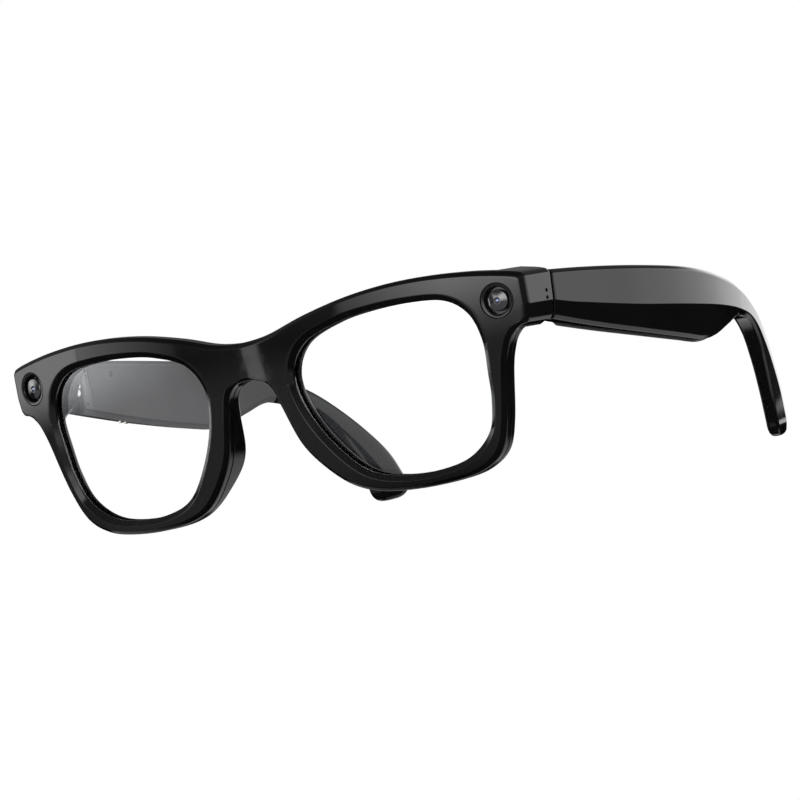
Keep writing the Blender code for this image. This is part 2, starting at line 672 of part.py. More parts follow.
def build_temple(side, label, root, mats):
    """Everything that turns with one temple; returns its shell, its cover and the hinge empty."""
    axis = make_empty(f"temple_axis_{label}", root, (side * HINGE_X, HINGE_Y, 0))
    shell = build_temple_shell(f"temple_shell_{label}", side, mats["shell"], axis)
    cover = temple_strip(f"temple_cover_{label}", side, (COVER_START, COVER_END), (0.0, 0.0), cover_depth,
                         mats["cover"], axis, chamfer=EDGE_ROUND, steps=18)
    leaf, *faces = build_temple_leaf(side, label, axis, mats)
    build_leaf_screw(side, label, axis, mats, leaf, faces, shell)
    temple_strip(f"circuit_board_{label}", side, (27.5, 46.0), (3.0, 2.6), inside_depth(2.8, 3.8),
                 mats["board"], axis, steps=5)
    temple_strip(f"battery_{label}", side, (49.0, 73.0), (2.8, 3.0), inside_depth(2.75, 4.0),
                 mats["battery"], axis, steps=6)
    temple_strip(f"speaker_{label}", side, (77.0, 87.5), (2.8, 3.0), inside_depth(2.6, 3.7),
                 mats["can"], axis, steps=4)
    return shell, cover, axis


def build_touch_sensor(side, label, axis, mats):
    """Touch strip bonded inside the outer wall, ahead of the battery."""
    near = WALL + GAP
    temple_strip(f"touch_sensor_{label}", side, (29.0, 71.0), (2.2, 8.2), inside_depth(near, near + 0.3),
                 mats["flex"], axis, steps=8)


def build_button(side, label, axis, mats, shell):
    """Capture button in the top edge; it slides down into its slot."""
    station = station_at(BUTTON_AT)
    outer = temple_middle(BUTTON_AT) + temple_half(BUTTON_AT)
    top = station[1]
    near, far = outer - 3.2, outer - 1.6
    half = BUTTON_LENGTH / 2
    slot = place_box(f"button_slot_{label}", side, (near - GAP, BUTTON_AT - half - GAP, top - WALL - 0.8),
                     (far + GAP, BUTTON_AT + half + GAP, top + 2.0), mats["shell"], axis)
    boolean(shell, slot, "DIFFERENCE")
    button_axis = make_empty(f"button_axis_{label}", axis,
                             (side * ((near + far) / 2 - HINGE_X), BUTTON_AT - HINGE_Y, top))
    mesh_data = box((near, BUTTON_AT - half, top - WALL - 0.2), (far, BUTTON_AT + half, top + 0.6))
    mirror_x(mesh_data, side)
    shift_to(mesh_data, side)
    offset = (-side * ((near + far) / 2 - HINGE_X), -(BUTTON_AT - HINGE_Y), -top)
    bmesh.ops.translate(mesh_data, verts=mesh_data.verts, vec=offset)
    bmesh.ops.bevel(mesh_data, geom=mesh_data.edges[:], offset=0.25, segments=1, affect="EDGES")
    make_object(f"capture_button_{label}", mesh_data, mats["button"], button_axis)


def build_contacts(side, axis, mats, shell):
    """Two charging contacts let into the underside of the outer shell."""
    hole_r = CONTACT_R + CONTACT_CLEARANCE
    for number, y in enumerate(CONTACT_AT, 1):
        outer = temple_middle(y) + temple_half(y)
        place = (side * (outer - CONTACT_IN - HINGE_X), y - HINGE_Y, station_at(y)[3])
        seat = make_empty(f"contact_seat_{number}", axis, place, (math.radians(90), 0, 0))
        hole = turned([(0, -2), (hole_r, -2), (hole_r, 2.5), (0, 2.5)], 16)
        boolean(shell, make_object(f"contact_bore_{number}", hole, mats["gold"], seat), "DIFFERENCE")
        pin = turned([(0, -CONTACT_PROUD), (CONTACT_R, -CONTACT_PROUD), (CONTACT_R, 1.1), (0, 1.1)], 16)
        make_object(f"charging_contact_{number}", pin, mats["gold"], seat)


def build_status_light(side, axis, mats, cover):
    """Light pipe let into the inner cover."""
    y, z = LIGHT_AT
    inner = temple_middle(y) - temple_half(y)
    place = (side * (inner - HINGE_X), y - HINGE_Y, z)
    seat = make_empty("light_seat", axis, place, (0, 0, -side * math.radians(90)))
    bore = [(0, -3), (LIGHT_R + 0.15, -3), (LIGHT_R + 0.15, 3), (0, 3)]
    boolean(cover, make_object("light_bore", turned(bore, 12), mats["light"], seat), "DIFFERENCE")
    pipe = [(0, 0.1), (LIGHT_R, 0.1), (LIGHT_R, 1.3), (0, 1.3)]
    make_object("status_light_right", turned(pipe, 12), mats["light"], seat)


def build_microphone(side, label, parent, mats, front_frame, rear_frame):
    """Microphone behind the endpiece's side wall, with two ports through the wall."""
    deep, long, tall = MICROPHONE_SIZE
    outer = ENDPIECE_UPPER_SIDE[0][0] - ENDPIECE_WALL - GAP - 0.1
    low = (outer - deep, PORT_Y - long / 2, sum(PORT_LEVELS) / 2 - tall / 2)
    high = (outer, PORT_Y + long / 2, sum(PORT_LEVELS) / 2 + tall / 2)
    place_box(f"microphone_{label}", side, low, high, mats["can"], parent)
    low = tuple(v - GAP for v in low)
    high = (outer + 1.0, high[1] + GAP, high[2] + GAP)
    pocket = place_box(f"microphone_pocket_{label}", side, low, high, mats["can"], parent)
    boolean(rear_frame, pocket, "DIFFERENCE")
    for number, level in enumerate(PORT_LEVELS, 1):
        place = (side * (outer - HINGE_X), PORT_Y - HINGE_Y, level)
        seat = make_empty(f"port_seat_{number}_{label}", parent, place, (0, 0, -side * math.radians(90)))
        port = [(0, 0.1), (PORT_R, 0.1), (PORT_R, 4), (0, 4)]
        cutter = make_object(f"port_cutter_{number}_{label}", turned(port, 10), mats["can"], seat)
        boolean(front_frame, cutter, "DIFFERENCE")


def build_flex(parent, mats, rear_frame):
    """Ribbon cable through the brow, from one camera to the other, in a channel."""
    route = catmull_rom(FLEX_ROUTE, 22)
    path = [(-x, z) for x, z in route[:0:-1]] + [(x, z) for x, z in route]
    for name, half, near, far, material in (("front_flex_cable", 0.6, 2.85, 3.05, mats["flex"]),
                                            ("flex_channel_cutter", 0.9, 2.0, 3.4, mats["shell"])):
        rows = []
        for x, z in path:
            corners = ((z - half, near), (z + half, near), (z + half, far), (z - half, far))
            rows.append([front_point((x, level), back) for level, back in corners])
        mesh_data = bmesh.new()
        verts = grid_faces(mesh_data, rows)
        mesh_data.faces.new(verts[0])
        mesh_data.faces.new(verts[-1])
        piece = make_object(name, mesh_data, material, parent)
    boolean(rear_frame, piece, "DIFFERENCE")


def build_materials():
    return {
        "shell": make_material("gloss_black", (0.01, 0.01, 0.011), 0.08),
        "cover": make_material("satin_black", (0.03, 0.03, 0.032), 0.35),
        "lens": make_material("clear_lens", (0.96, 0.98, 0.98), 0.0, alpha=0.12),
        "bezel": make_material("bezel_black", (0.004, 0.004, 0.004), 0.25),
        "glass": make_material("camera_glass", (0.02, 0.02, 0.03), 0.02),
        "sensor": make_material("camera_body", (0.05, 0.05, 0.06), 0.4),
        "steel": make_material("hinge_steel", (0.55, 0.55, 0.56), 0.3, 1.0),
        "gold": make_material("contact_metal", (0.83, 0.78, 0.66), 0.25, 1.0),
        "board": make_material("board_green", (0.02, 0.12, 0.05), 0.5),
        "battery": make_material("cell_foil", (0.5, 0.5, 0.52), 0.35, 0.6),
        "can": make_material("pressed_can", (0.2, 0.2, 0.21), 0.35, 0.8),
        "light": make_material("light_pipe", (0.85, 0.87, 0.88), 0.3),
        "flex": make_material("ribbon_amber", (0.35, 0.16, 0.03), 0.4),
        "button": make_material("button_black", (0.02, 0.02, 0.022), 0.25),
    }


def stand_on_floor(root):
    """Put the origin under the middle of the bounding box, at its lowest level."""
    bpy.context.view_layer.update()
    depsgraph = bpy.context.evaluated_depsgraph_get()
    corners = []
    for obj in bpy.data.objects:
        if obj.type == "MESH" and not obj.hide_render:
            mesh = obj.evaluated_get(depsgraph).to_mesh()
            corners += [obj.matrix_world @ vert.co for vert in mesh.vertices]
    low = [min(c[k] for c in corners) for k in range(3)]
    high = [max(c[k] for c in corners) for k in range(3)]
    root.location = (-(low[0] + high[0]) / 2, -(low[1] + high[1]) / 2, -low[2])


def main():
    clear_scene()
    mats = build_materials()
    root = make_empty("glasses", rotation=(-REST_TILT, 0, 0))
    front = make_empty("front_lean", root, rotation=(PANTO_TILT, 0, 0))
    front_frame = build_rim(front_shell_section, "front_frame", mats["shell"], front)
    rear_frame = build_rim(rear_shell_section, "rear_frame", mats["shell"], front, step_gap=STEP_GAP)
    build_flex(front, mats, rear_frame)
    for side, label in ((1, "left"), (-1, "right")):
        build_lens(f"lens_{label}", side, mats["lens"], front)
        build_camera(side, label, front, mats, front_frame, rear_frame)
        hinge = make_empty(f"front_hinge_{label}", root, (side * HINGE_X, HINGE_Y, 0))
        build_front_leaf(side, label, hinge, mats, rear_frame)
        build_microphone(side, label, hinge, mats, front_frame, rear_frame)
        build_pin(side, label, hinge, mats)
        shell, cover, axis = build_temple(side, label, root, mats)
        if side < 0:
            build_button(side, label, axis, mats, shell)
            build_contacts(side, axis, mats, shell)
            build_status_light(side, axis, mats, cover)
        else:
            build_touch_sensor(side, label, axis, mats)
    stand_on_floor(root)


main()
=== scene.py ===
import json
import math
from typing import NamedTuple

import bmesh
import bpy
import numpy as np
from mathutils import Matrix, Vector


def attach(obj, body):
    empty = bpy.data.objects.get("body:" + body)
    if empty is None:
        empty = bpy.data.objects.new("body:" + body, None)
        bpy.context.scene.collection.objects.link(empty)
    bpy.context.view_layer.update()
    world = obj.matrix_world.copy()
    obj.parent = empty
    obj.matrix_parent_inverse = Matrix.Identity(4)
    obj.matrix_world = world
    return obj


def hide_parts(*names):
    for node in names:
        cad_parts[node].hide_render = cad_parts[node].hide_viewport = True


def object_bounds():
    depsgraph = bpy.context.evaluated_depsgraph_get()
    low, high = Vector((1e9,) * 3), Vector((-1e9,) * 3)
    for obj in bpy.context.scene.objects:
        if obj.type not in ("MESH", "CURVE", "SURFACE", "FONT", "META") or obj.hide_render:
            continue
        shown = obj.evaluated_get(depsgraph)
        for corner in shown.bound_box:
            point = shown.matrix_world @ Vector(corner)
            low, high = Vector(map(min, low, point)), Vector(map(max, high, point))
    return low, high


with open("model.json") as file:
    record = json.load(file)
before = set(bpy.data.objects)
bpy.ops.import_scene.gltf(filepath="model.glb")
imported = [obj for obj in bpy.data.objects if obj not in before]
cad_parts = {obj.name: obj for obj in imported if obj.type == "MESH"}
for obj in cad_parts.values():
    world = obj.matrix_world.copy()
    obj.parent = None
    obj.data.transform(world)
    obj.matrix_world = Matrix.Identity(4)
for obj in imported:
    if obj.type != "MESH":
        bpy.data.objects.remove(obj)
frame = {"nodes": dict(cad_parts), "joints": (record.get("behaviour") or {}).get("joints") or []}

CAD_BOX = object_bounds()
MM = 0.001
GAP = 0.3
CREASE_ANGLE = 38.0

# Front surface and rim section
PANTO_TILT = math.radians(5.5)
BASE_CURVE = 0.0013
WRAP_CURVE = 3.4e-8
LEAN_CURVE = 0.00302
LEAN_TOP = 17.0
SHELL_SPLIT = 2.4
RIM_DEPTH = 5.0
LIP_DEPTH = 1.6
LIP_BEVEL = 0.9
FACE_BEVEL = 1.3
EDGE_CHAMFER = 0.9
GROOVE = 1.5
LENS_OVERLAP = 1.0
LENS_THICK = 1.0
NOSE_PAD_RISE = 3.2
NOSE_PAD_AT = (13.0, -7.0)
NOSE_PAD_SPREAD = 7.0
NOSE_PAD_STRETCH = 0.7

# Lens opening of the wearer's left eye, and the rim's outline from the bridge round to the brow
LENS_CENTRE = (38.2, 0.0)
OPENING = [(60.8, 0.0), (61.2, 7.0), (59.2, 13.2), (54.0, 17.0), (45.0, 18.0), (35.0, 17.8),
           (26.0, 16.6), (17.0, 13.4), (12.8, 7.2), (13.9, -0.8), (18.4, -9.2), (25.0, -16.3),
           (33.0, -19.0), (43.0, -19.3), (51.5, -17.6), (57.6, -12.9), (60.0, -6.4)]
LOWER_OUTLINE = [(0.0, 7.6), (3.4, 7.2), (6.0, 5.0), (7.6, 0.3), (10.4, -8.3), (14.6, -14.2),
                 (20.3, -19.2), (27.2, -21.8), (37.2, -22.7), (47.0, -22.3), (54.0, -20.9),
                 (59.4, -17.4), (62.6, -10.6), (65.4, 0.3), (66.5, 3.6), (67.8, 6.3), (69.6, 8.2)]
ENDPIECE_UNDERSIDE = [(69.6, 8.2), (70.9, 8.8), (72.3, 9.1), (73.1, 10.0)]
ENDPIECE_LOWER_SIDE = [(73.1, 10.0), (73.6, 13.1)]
ENDPIECE_UPPER_SIDE = [(73.6, 13.1), (73.6, 19.2)]
ENDPIECE_TOP = [(73.6, 19.2), (72.9, 20.0), (70.6, 20.7), (66.3, 21.5)]
UPPER_OUTLINE = [(66.3, 21.5), (59.6, 22.4), (50.0, 23.1), (40.0, 23.0), (29.2, 21.9),
                 (18.0, 19.7), (9.2, 17.3), (4.5, 16.5), (0.0, 16.2)]
ENDPIECE_BACK = 17.0
ENDPIECE_WALL = 1.6
BLOCK_FLOOR = 9.9
BLOCK_INSET = 2.0
STEP_GAP = 0.5
FLEX_ROUTE = [(0.0, 12.2), (8.0, 13.2), (16.0, 17.2), (24.0, 19.2), (36.0, 20.7), (50.0, 21.0),
              (61.0, 19.6)]
FLEX_HALF = 0.9
FLEX_NEAR = 2.0
FLEX_FAR = 3.4

# Camera in each endpiece
CAMERA_AT = (66.9, 14.9)
CAMERA_TOE_OUT = math.radians(11.0)
RECESS_R = 3.9
DISH_R = 3.82
GROOVE_R = 3.0
CONE_R = 2.4
EYE_R = 0.55
MODULE_POCKET_R = 3.2
MODULE_POCKET_DEPTH = 6.9

# Hinge and temple
HINGE_X = 66.8
HINGE_Y = 18.9
KNUCKLE_LEVELS = (13.6, 19.3)
LEAF_HALF = 0.9
LEAF_FRONT = 13.4
TEMPLE_START = 17.9
TEMPLE_RUN = [(17.9, 21.6, 17.9, 10.4), (29.0, 22.1, 29.0, 9.1), (42.0, 22.4, 42.0, 7.8),
              (56.0, 22.4, 56.0, 6.6), (67.0, 22.2, 67.0, 5.8), (75.0, 21.7, 75.0, 5.4),
              (82.0, 20.9, 81.5, 6.5), (89.0, 19.8, 88.2, 9.0), (95.0, 18.4, 94.6, 11.2),
              (101.6, 16.2, 102.0, 10.4), (108.6, 12.9, 107.9, 6.9), (115.3, 8.2, 111.9, 2.2),
              (121.3, 2.8, 115.5, -2.6), (126.8, -3.5, 118.6, -7.2), (130.6, -11.0, 121.5, -12.3)]
TIP_CAP = 3.6
TIP_FULLNESS = 0.6
TEMPLE_MIDDLE = [(17.0, 70.2), (34.0, 71.5), (50.0, 72.8), (66.0, 73.3), (80.0, 72.4),
                 (94.0, 69.8), (105.0, 66.6), (115.0, 62.9), (125.0, 58.6), (132.0, 55.4)]
TEMPLE_HALF_FRONT = 3.2
TEMPLE_HALF_TIP = 2.4
CREASE_RUN = [(18.0, 6.9), (27.0, 7.9), (45.0, 8.9), (60.0, 8.9), (72.5, 8.4), (85.0, 7.0),
              (93.5, 5.7), (102.0, 4.2), (110.0, 3.6), (120.0, 3.0), (130.0, 2.6)]
FACET_SLOPE = 0.22
EDGE_ROUND = 0.9
FOOT_CHAMFER = 0.75
FOOT_RISE = 0.35
SHELL_PART = 0.70
WALL = 1.4
COVER_START = 24.1
COVER_END = 97.0
FULL_RAMP = 4.0
CAVITY_START = 26.0
CAVITY_END = 90.0

# Small parts
BUTTON_AT = 34.0
BUTTON_LENGTH = 7.0
BUTTON_IN = (3.2, 1.6)
BUTTON_CORNER = 0.55
CONTACT_AT = (42.5, 44.7)
CONTACT_IN = 2.95
CONTACT_R = 0.5
CONTACT_CLEARANCE = 0.2
CONTACT_PROUD = 0.1
PORT_LEVELS = (15.2, 16.8)
PORT_Y = 14.8
PORT_R = 0.45
PORT_IN = ENDPIECE_WALL + GAP + 0.1
MICROPHONE_SIZE = (0.9, 2.2, 3.4)
SCREW_R = 0.45
SCREW_AT = (22.0, 14.45)
SCREW_LEAF_Y = 21.0
SCREW_INSET = 1.2
BORE_CLEARANCE = 0.15
LIGHT_AT = (36.4, 19.0)
LIGHT_R = 0.5
COVER_HOLES = ((26.0, 18.5), (25.6, 11.9))
COVER_HOLE_R = 0.28

# View: where the camera stands, in level axes
CAMERA_AIM = (12.7, 39.4, 1.0)
CAMERA_RANGE = 1180.0
CAMERA_AZIMUTH = math.radians(36.19)
CAMERA_RISE = math.radians(4.23)
CAMERA_ROLL = math.radians(7.08)
CAMERA_LENS = 232.5
FLOOR_DROP = 0.0004
FLOOR_HALF = 3.0


# ---------------------------------------------------------------- shared shapes


def joint_named(name):
    return next(joint for joint in frame["joints"] if joint["name"] == name)


def level_axes():
    """Matrix from level axes in millimetres to the frame in metres."""
    hinge = joint_named("left_temple_fold")
    axis = Vector(hinge["axis"])
    turn = Matrix.Rotation(-math.atan2(axis.y, axis.z), 4, "X")
    to_hinge = Matrix.Translation((-HINGE_X, -HINGE_Y, 0))
    return Matrix.Translation(hinge["pos_m"]) @ turn @ Matrix.Scale(MM, 4) @ to_hinge


LEVEL = level_axes()
FRONT = LEVEL @ Matrix.Rotation(PANTO_TILT, 4, "X")


def unit(vector):
    return vector / np.linalg.norm(vector)


def smooth_share(value):
    """Share between 0 and 1 that starts and ends level."""
    share = min(max(value, 0.0), 1.0)
    return share * share * (3 - 2 * share)


def catmull_rom(points, samples, closed=False):
    """Smooth curve through the points, sampled evenly along its length."""
    points = np.array(points, float)
    if closed:
        padded = np.vstack([points[-1], points, points[:2]])
    else:
        padded = np.vstack([2 * points[0] - points[1], points, 2 * points[-1] - points[-2]])
    steps = np.linspace(0, 1, 24, endpoint=False)[:, None]
    pieces = []
    for a, b, c, d in zip(padded, padded[1:], padded[2:], padded[3:]):
        curve = 2 * b + (c - a) * steps + (2 * a - 5 * b + 4 * c - d) * steps**2
        pieces.append((curve + (3 * b - a - 3 * c + d) * steps**3) / 2)
    pieces.append(padded[-2:-1])
    dense = np.vstack(pieces)
    travel = np.concatenate([[0], np.cumsum(np.linalg.norm(np.diff(dense, axis=0), axis=1))])
    wanted = np.linspace(0, travel[-1], samples, endpoint=not closed)
    return np.stack([np.interp(wanted, travel, dense[:, k]) for k in range(points.shape[1])], 1)


def eased_corner(before, corner, after, reach, steps):
    """Points of a curve that rounds a corner off, starting and ending reach away from it."""
    before, corner, after = (np.array(p, float) for p in (before, corner, after))
    near, far = np.linalg.norm(before - corner), np.linalg.norm(after - corner)
    if min(near, far) < 1e-6:
        return [corner] * (steps + 1)
    reach = min(reach, 0.45 * near, 0.45 * far)
    start = corner + (before - corner) / near * reach
    end = corner + (after - corner) / far * reach
    turns = np.linspace(0, 1, steps + 1)
    return [(1 - t) ** 2 * start + 2 * t * (1 - t) * corner + t * t * end for t in turns]


def eased_ring(corners):
    """Closed ring from (point, reach, steps) corners; a reach of 0 keeps the point as it is."""
    ring = []
    count = len(corners)
    for k, (point, reach, steps) in enumerate(corners):
        if reach == 0:
            ring.append(np.array(point, float))
        else:
            ring += eased_corner(corners[k - 1][0], point, corners[(k + 1) % count][0], reach, steps)
    return ring


def skin(mesh_data, rows, closed_ring=True, closed_path=False, keep=None):
    """Join a list of rings, each a list of points, with quads."""
    verts = [[mesh_data.verts.new(point) for point in row] for row in rows]
    count = len(rows[0])
    last = len(rows) if closed_path else len(rows) - 1
    for i in range(last):
        here, there = verts[i], verts[(i + 1) % len(rows)]
        for j in range(count if closed_ring else count - 1):
            quad = (here[j], here[(j + 1) % count], there[(j + 1) % count], there[j])
            if keep is None or keep(quad):
                mesh_data.faces.new(quad)
    return verts


def lofted(rows):
    """A skinned run of rings with both ends closed."""
    mesh_data = bmesh.new()
    verts = skin(mesh_data, rows)
    mesh_data.faces.new(verts[0])
    mesh_data.faces.new(verts[-1])
    return mesh_data


def turned(profile, segments=96):
    """Revolve (radius, back) points about the y axis; a radius of 0 closes an end."""
    mesh_data = bmesh.new()
    rows = []
    for k in range(segments):
        a = 2 * math.pi * k / segments
        rows.append([(r * math.cos(a), y, r * math.sin(a)) for r, y in profile])
    skin(mesh_data, rows, closed_ring=profile[0][0] > 0, closed_path=True)
    return mesh_data


def eased_profile(corners, closed=False):
    """Turned profile from (radius, back, reach) corners."""
    points = [np.array(corner[:2], float) for corner in corners]
    run = []
    for k, (point, corner) in enumerate(zip(points, corners)):
        inside = closed or 0 < k < len(points) - 1
        if corner[2] and inside:
            run += eased_corner(points[k - 1], point, points[(k + 1) % len(points)], corner[2], 5)
        else:
            run.append(point)
    return run


def block(low, high):
    mesh_data = bmesh.new()
    size = [b - a for a, b in zip(low, high)]
    centre = [(a + b) / 2 for a, b in zip(low, high)]
    place = Matrix.Translation(centre) @ Matrix.Diagonal((*size, 1.0))
    bmesh.ops.create_cube(mesh_data, size=1.0, matrix=place)
    return mesh_data


def sided(mesh_data, side):
    """Mirror what is drawn for the wearer's left to its side."""
    if side < 0:
        bmesh.ops.scale(mesh_data, verts=mesh_data.verts, vec=(-1, 1, 1))
    return mesh_data


def solid(name, mesh_data, place, crease=CREASE_ANGLE):
    """Object with its mesh in frame metres, smooth apart from edges above the crease angle."""
    bmesh.ops.remove_doubles(mesh_data, verts=mesh_data.verts, dist=0.0002)
    bmesh.ops.dissolve_degenerate(mesh_data, edges=mesh_data.edges, dist=0.0001)
    bmesh.ops.recalc_face_normals(mesh_data, faces=mesh_data.faces)
    mesh_data.transform(place)
    mesh = bpy.data.meshes.new(name)
    mesh_data.to_mesh(mesh)
    mesh_data.free()
    mesh.shade_smooth()
    mesh.set_sharp_from_angle(angle=math.radians(crease))
    obj = bpy.data.objects.new(name, mesh)
    bpy.context.scene.collection.objects.link(obj)
    return obj


def carve(obj, *cutters):
    """Cut the cutters out of an object, apply the cuts and remove the cutters."""
    for cutter in cutters:
        cut = obj.modifiers.new(cutter.name, "BOOLEAN")
        cut.operation = "DIFFERENCE"
        cut.solver = "MANIFOLD"
        cut.object = cutter
    depsgraph = bpy.context.evaluated_depsgraph_get()
    mesh = bpy.data.meshes.new_from_object(obj.evaluated_get(depsgraph))
    obj.modifiers.clear()
    obj.data = mesh
    mesh.shade_smooth()
    mesh.set_sharp_from_angle(angle=math.radians(CREASE_ANGLE))
    for cutter in cutters:
        bpy.data.objects.remove(cutter, do_unlink=True)


def finish_piece(obj, body, material, slot, *nodes):
    """Give a piece its material, its even shading and its place on a body."""
    obj.data.materials.clear()
    obj.data.materials.append(material)
    weighted = obj.modifiers.new("even_shading", "WEIGHTED_NORMAL")
    weighted.keep_sharp = True
    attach(obj, body)
    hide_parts(*nodes)
    return obj


# ---------------------------------------------------------------- front


def face_depth(x, z):
    """How far back the front surface lies at a place on the front."""
    return BASE_CURVE * x * x + WRAP_CURVE * x**4 + LEAN_CURVE * (z - LEAN_TOP) ** 2


def front_point(place, back):
    x, z = float(place[0]), float(place[1])
    return (x, face_depth(x, z) + back, z)


def endpiece_back(place):
    """Depth behind the front surface of the upright plane that ends the endpiece."""
    x, z = place
    plane = (ENDPIECE_BACK + z * math.sin(PANTO_TILT)) / math.cos(PANTO_TILT)
    return plane - face_depth(x, z)


def opening_lookup():
    """The lens opening as angle, radius pairs about the lens centre."""
    curve = catmull_rom(OPENING, 1200, closed=True) - np.array(LENS_CENTRE)
    angle = np.unwrap(np.arctan2(curve[:, 1], curve[:, 0]))
    order = np.argsort(angle)
    return angle[order], np.linalg.norm(curve, axis=1)[order]


OPENING_ANGLE, OPENING_RADIUS = opening_lookup()


def opening_point(angle, grow=0.0):
    """Point of the opening at an angle, moved out square to its edge by grow."""
    def at(a):
        r = np.interp(a, OPENING_ANGLE, OPENING_RADIUS, period=2 * math.pi)
        return np.array([LENS_CENTRE[0] + r * math.cos(a), LENS_CENTRE[1] + r * math.sin(a)])
    tangent = at(angle + 0.03) - at(angle - 0.03)
    outward = np.array([tangent[1], -tangent[0]]) / np.linalg.norm(tangent)
    return at(angle) + outward * grow


class Column(NamedTuple):
    """One place on the rim's outline, from which a section reaches to the lens opening."""

    edge: np.ndarray
    inward: np.ndarray
    angle: float
    on_endpiece: bool


def endpiece_outline():
    """Outline of the endpiece, from its underside to its top, with eased corners."""
    runs = [(ENDPIECE_UNDERSIDE, 22), (ENDPIECE_LOWER_SIDE, 5), (ENDPIECE_UPPER_SIDE, 6), (ENDPIECE_TOP, 14)]
    reaches = [0.9, 0.22, 0.8]
    curves = [list(catmull_rom(points, samples)) for points, samples in runs]
    outline = curves[0]
    for curve, reach in zip(curves[1:], reaches):
        corner = curve[0]
        outline = [p for p in outline if np.linalg.norm(p - corner) > reach]
        onward = [p for p in curve if np.linalg.norm(p - corner) > reach]
        outline += eased_corner(outline[-1], corner, onward[0], reach, 6) + onward
    return np.array(outline)


def rim_columns(step_gap=0.0):
    """Columns round one rim; those next to the endpiece stop short of it by step_gap."""
    lower = catmull_rom(LOWER_OUTLINE, 150)
    upper = catmull_rom(UPPER_OUTLINE, 90)
    outline = np.vstack([lower, endpiece_outline(), upper])
    tangent = np.gradient(outline, axis=0)
    tangent[0] = outline[1] - outline[0]
    tangent[-1] = outline[-1] - outline[-2]
    inward = np.stack([-tangent[:, 1], tangent[:, 0]], 1)
    inward /= np.linalg.norm(inward, axis=1)[:, None]
    inward[0] = (0.0, 1.0)
    inward[-1] = (0.0, -1.0)
    outline[len(lower) - 1] -= step_gap * unit(lower[-1] - lower[-2])
    outline[-len(upper)] += step_gap * unit(upper[1] - upper[0])
    on_endpiece = [len(lower) <= k < len(outline) - len(upper) for k in range(len(outline))]
    bridge = np.linspace(outline[-1][1], outline[0][1], 10)[1:-1]
    edges = list(outline) + [np.array([0.0, z]) for z in bridge]
    inwards = list(inward) + [np.zeros(2)] * len(bridge)
    flags = on_endpiece + [False] * len(bridge)
    angles = np.unwrap([math.atan2(p[1] - LENS_CENTRE[1], p[0] - LENS_CENTRE[0]) for p in edges])
    return [Column(*parts) for parts in zip(edges, inwards, np.maximum.accumulate(angles), flags)]


def build_rim(section, name, step_gap=0.0):
    """Sweep a section round one rim, mirror it and join both at the bridge."""
    mesh_data = bmesh.new()
    rows = [eased_ring(section(column)) for column in rim_columns(step_gap)]

    def keep(quad):
        return max(abs(vert.co.x) for vert in quad) > 1e-4

    skin(mesh_data, rows, closed_path=True, keep=keep)
    copy = bmesh.ops.duplicate(mesh_data, geom=mesh_data.faces[:] + mesh_data.verts[:])
    for item in copy["geom"]:
        if isinstance(item, bmesh.types.BMVert):
            item.co.x = -item.co.x
    return solid(name, mesh_data, FRONT)


def between(here, there, shares):
    return [here + (there - here) * share for share in shares]


def front_shell_section(column):
    at_bridge = not column.inward.any()
    chamfer = 0.0 if at_bridge else EDGE_CHAMFER
    edge, angle = column.edge, column.angle
    back = endpiece_back(edge) if column.on_endpiece else SHELL_SPLIT
    wall = edge + column.inward * ENDPIECE_WALL
    wall_back = endpiece_back(wall) if column.on_endpiece else SHELL_SPLIT
    bevel_edge = opening_point(angle, FACE_BEVEL)
    face_edge = edge + column.inward * chamfer
    face = between(bevel_edge, face_edge, np.linspace(0.08, 0.92, 9))
    corners = [(front_point(opening_point(angle), LIP_BEVEL), 0.12, 3),
               (front_point(bevel_edge, 0.0), 0.3, 3)]
    corners += [(front_point(place, 0.0), 0, 0) for place in face]
    corners += [(front_point(face_edge, 0.0), 0.45, 4),
                (front_point(edge, chamfer), 0.4, 4),
                (front_point(edge, back), 0.3 if column.on_endpiece else 0.12, 3),
                (front_point(wall, wall_back), 0, 0),
                (front_point(wall, SHELL_SPLIT), 0, 0),
                (front_point(opening_point(angle, GROOVE), SHELL_SPLIT), 0, 0),
                (front_point(opening_point(angle, GROOVE), LIP_DEPTH), 0, 0),
                (front_point(opening_point(angle), LIP_DEPTH), 0.1, 2)]
    return corners


def pad_rise(place):
    """Extra depth of the moulded nose pad."""
    away = math.hypot(place[0] - NOSE_PAD_AT[0], (place[1] - NOSE_PAD_AT[1]) * NOSE_PAD_STRETCH)
    return NOSE_PAD_RISE * math.exp(-((away / NOSE_PAD_SPREAD) ** 2))


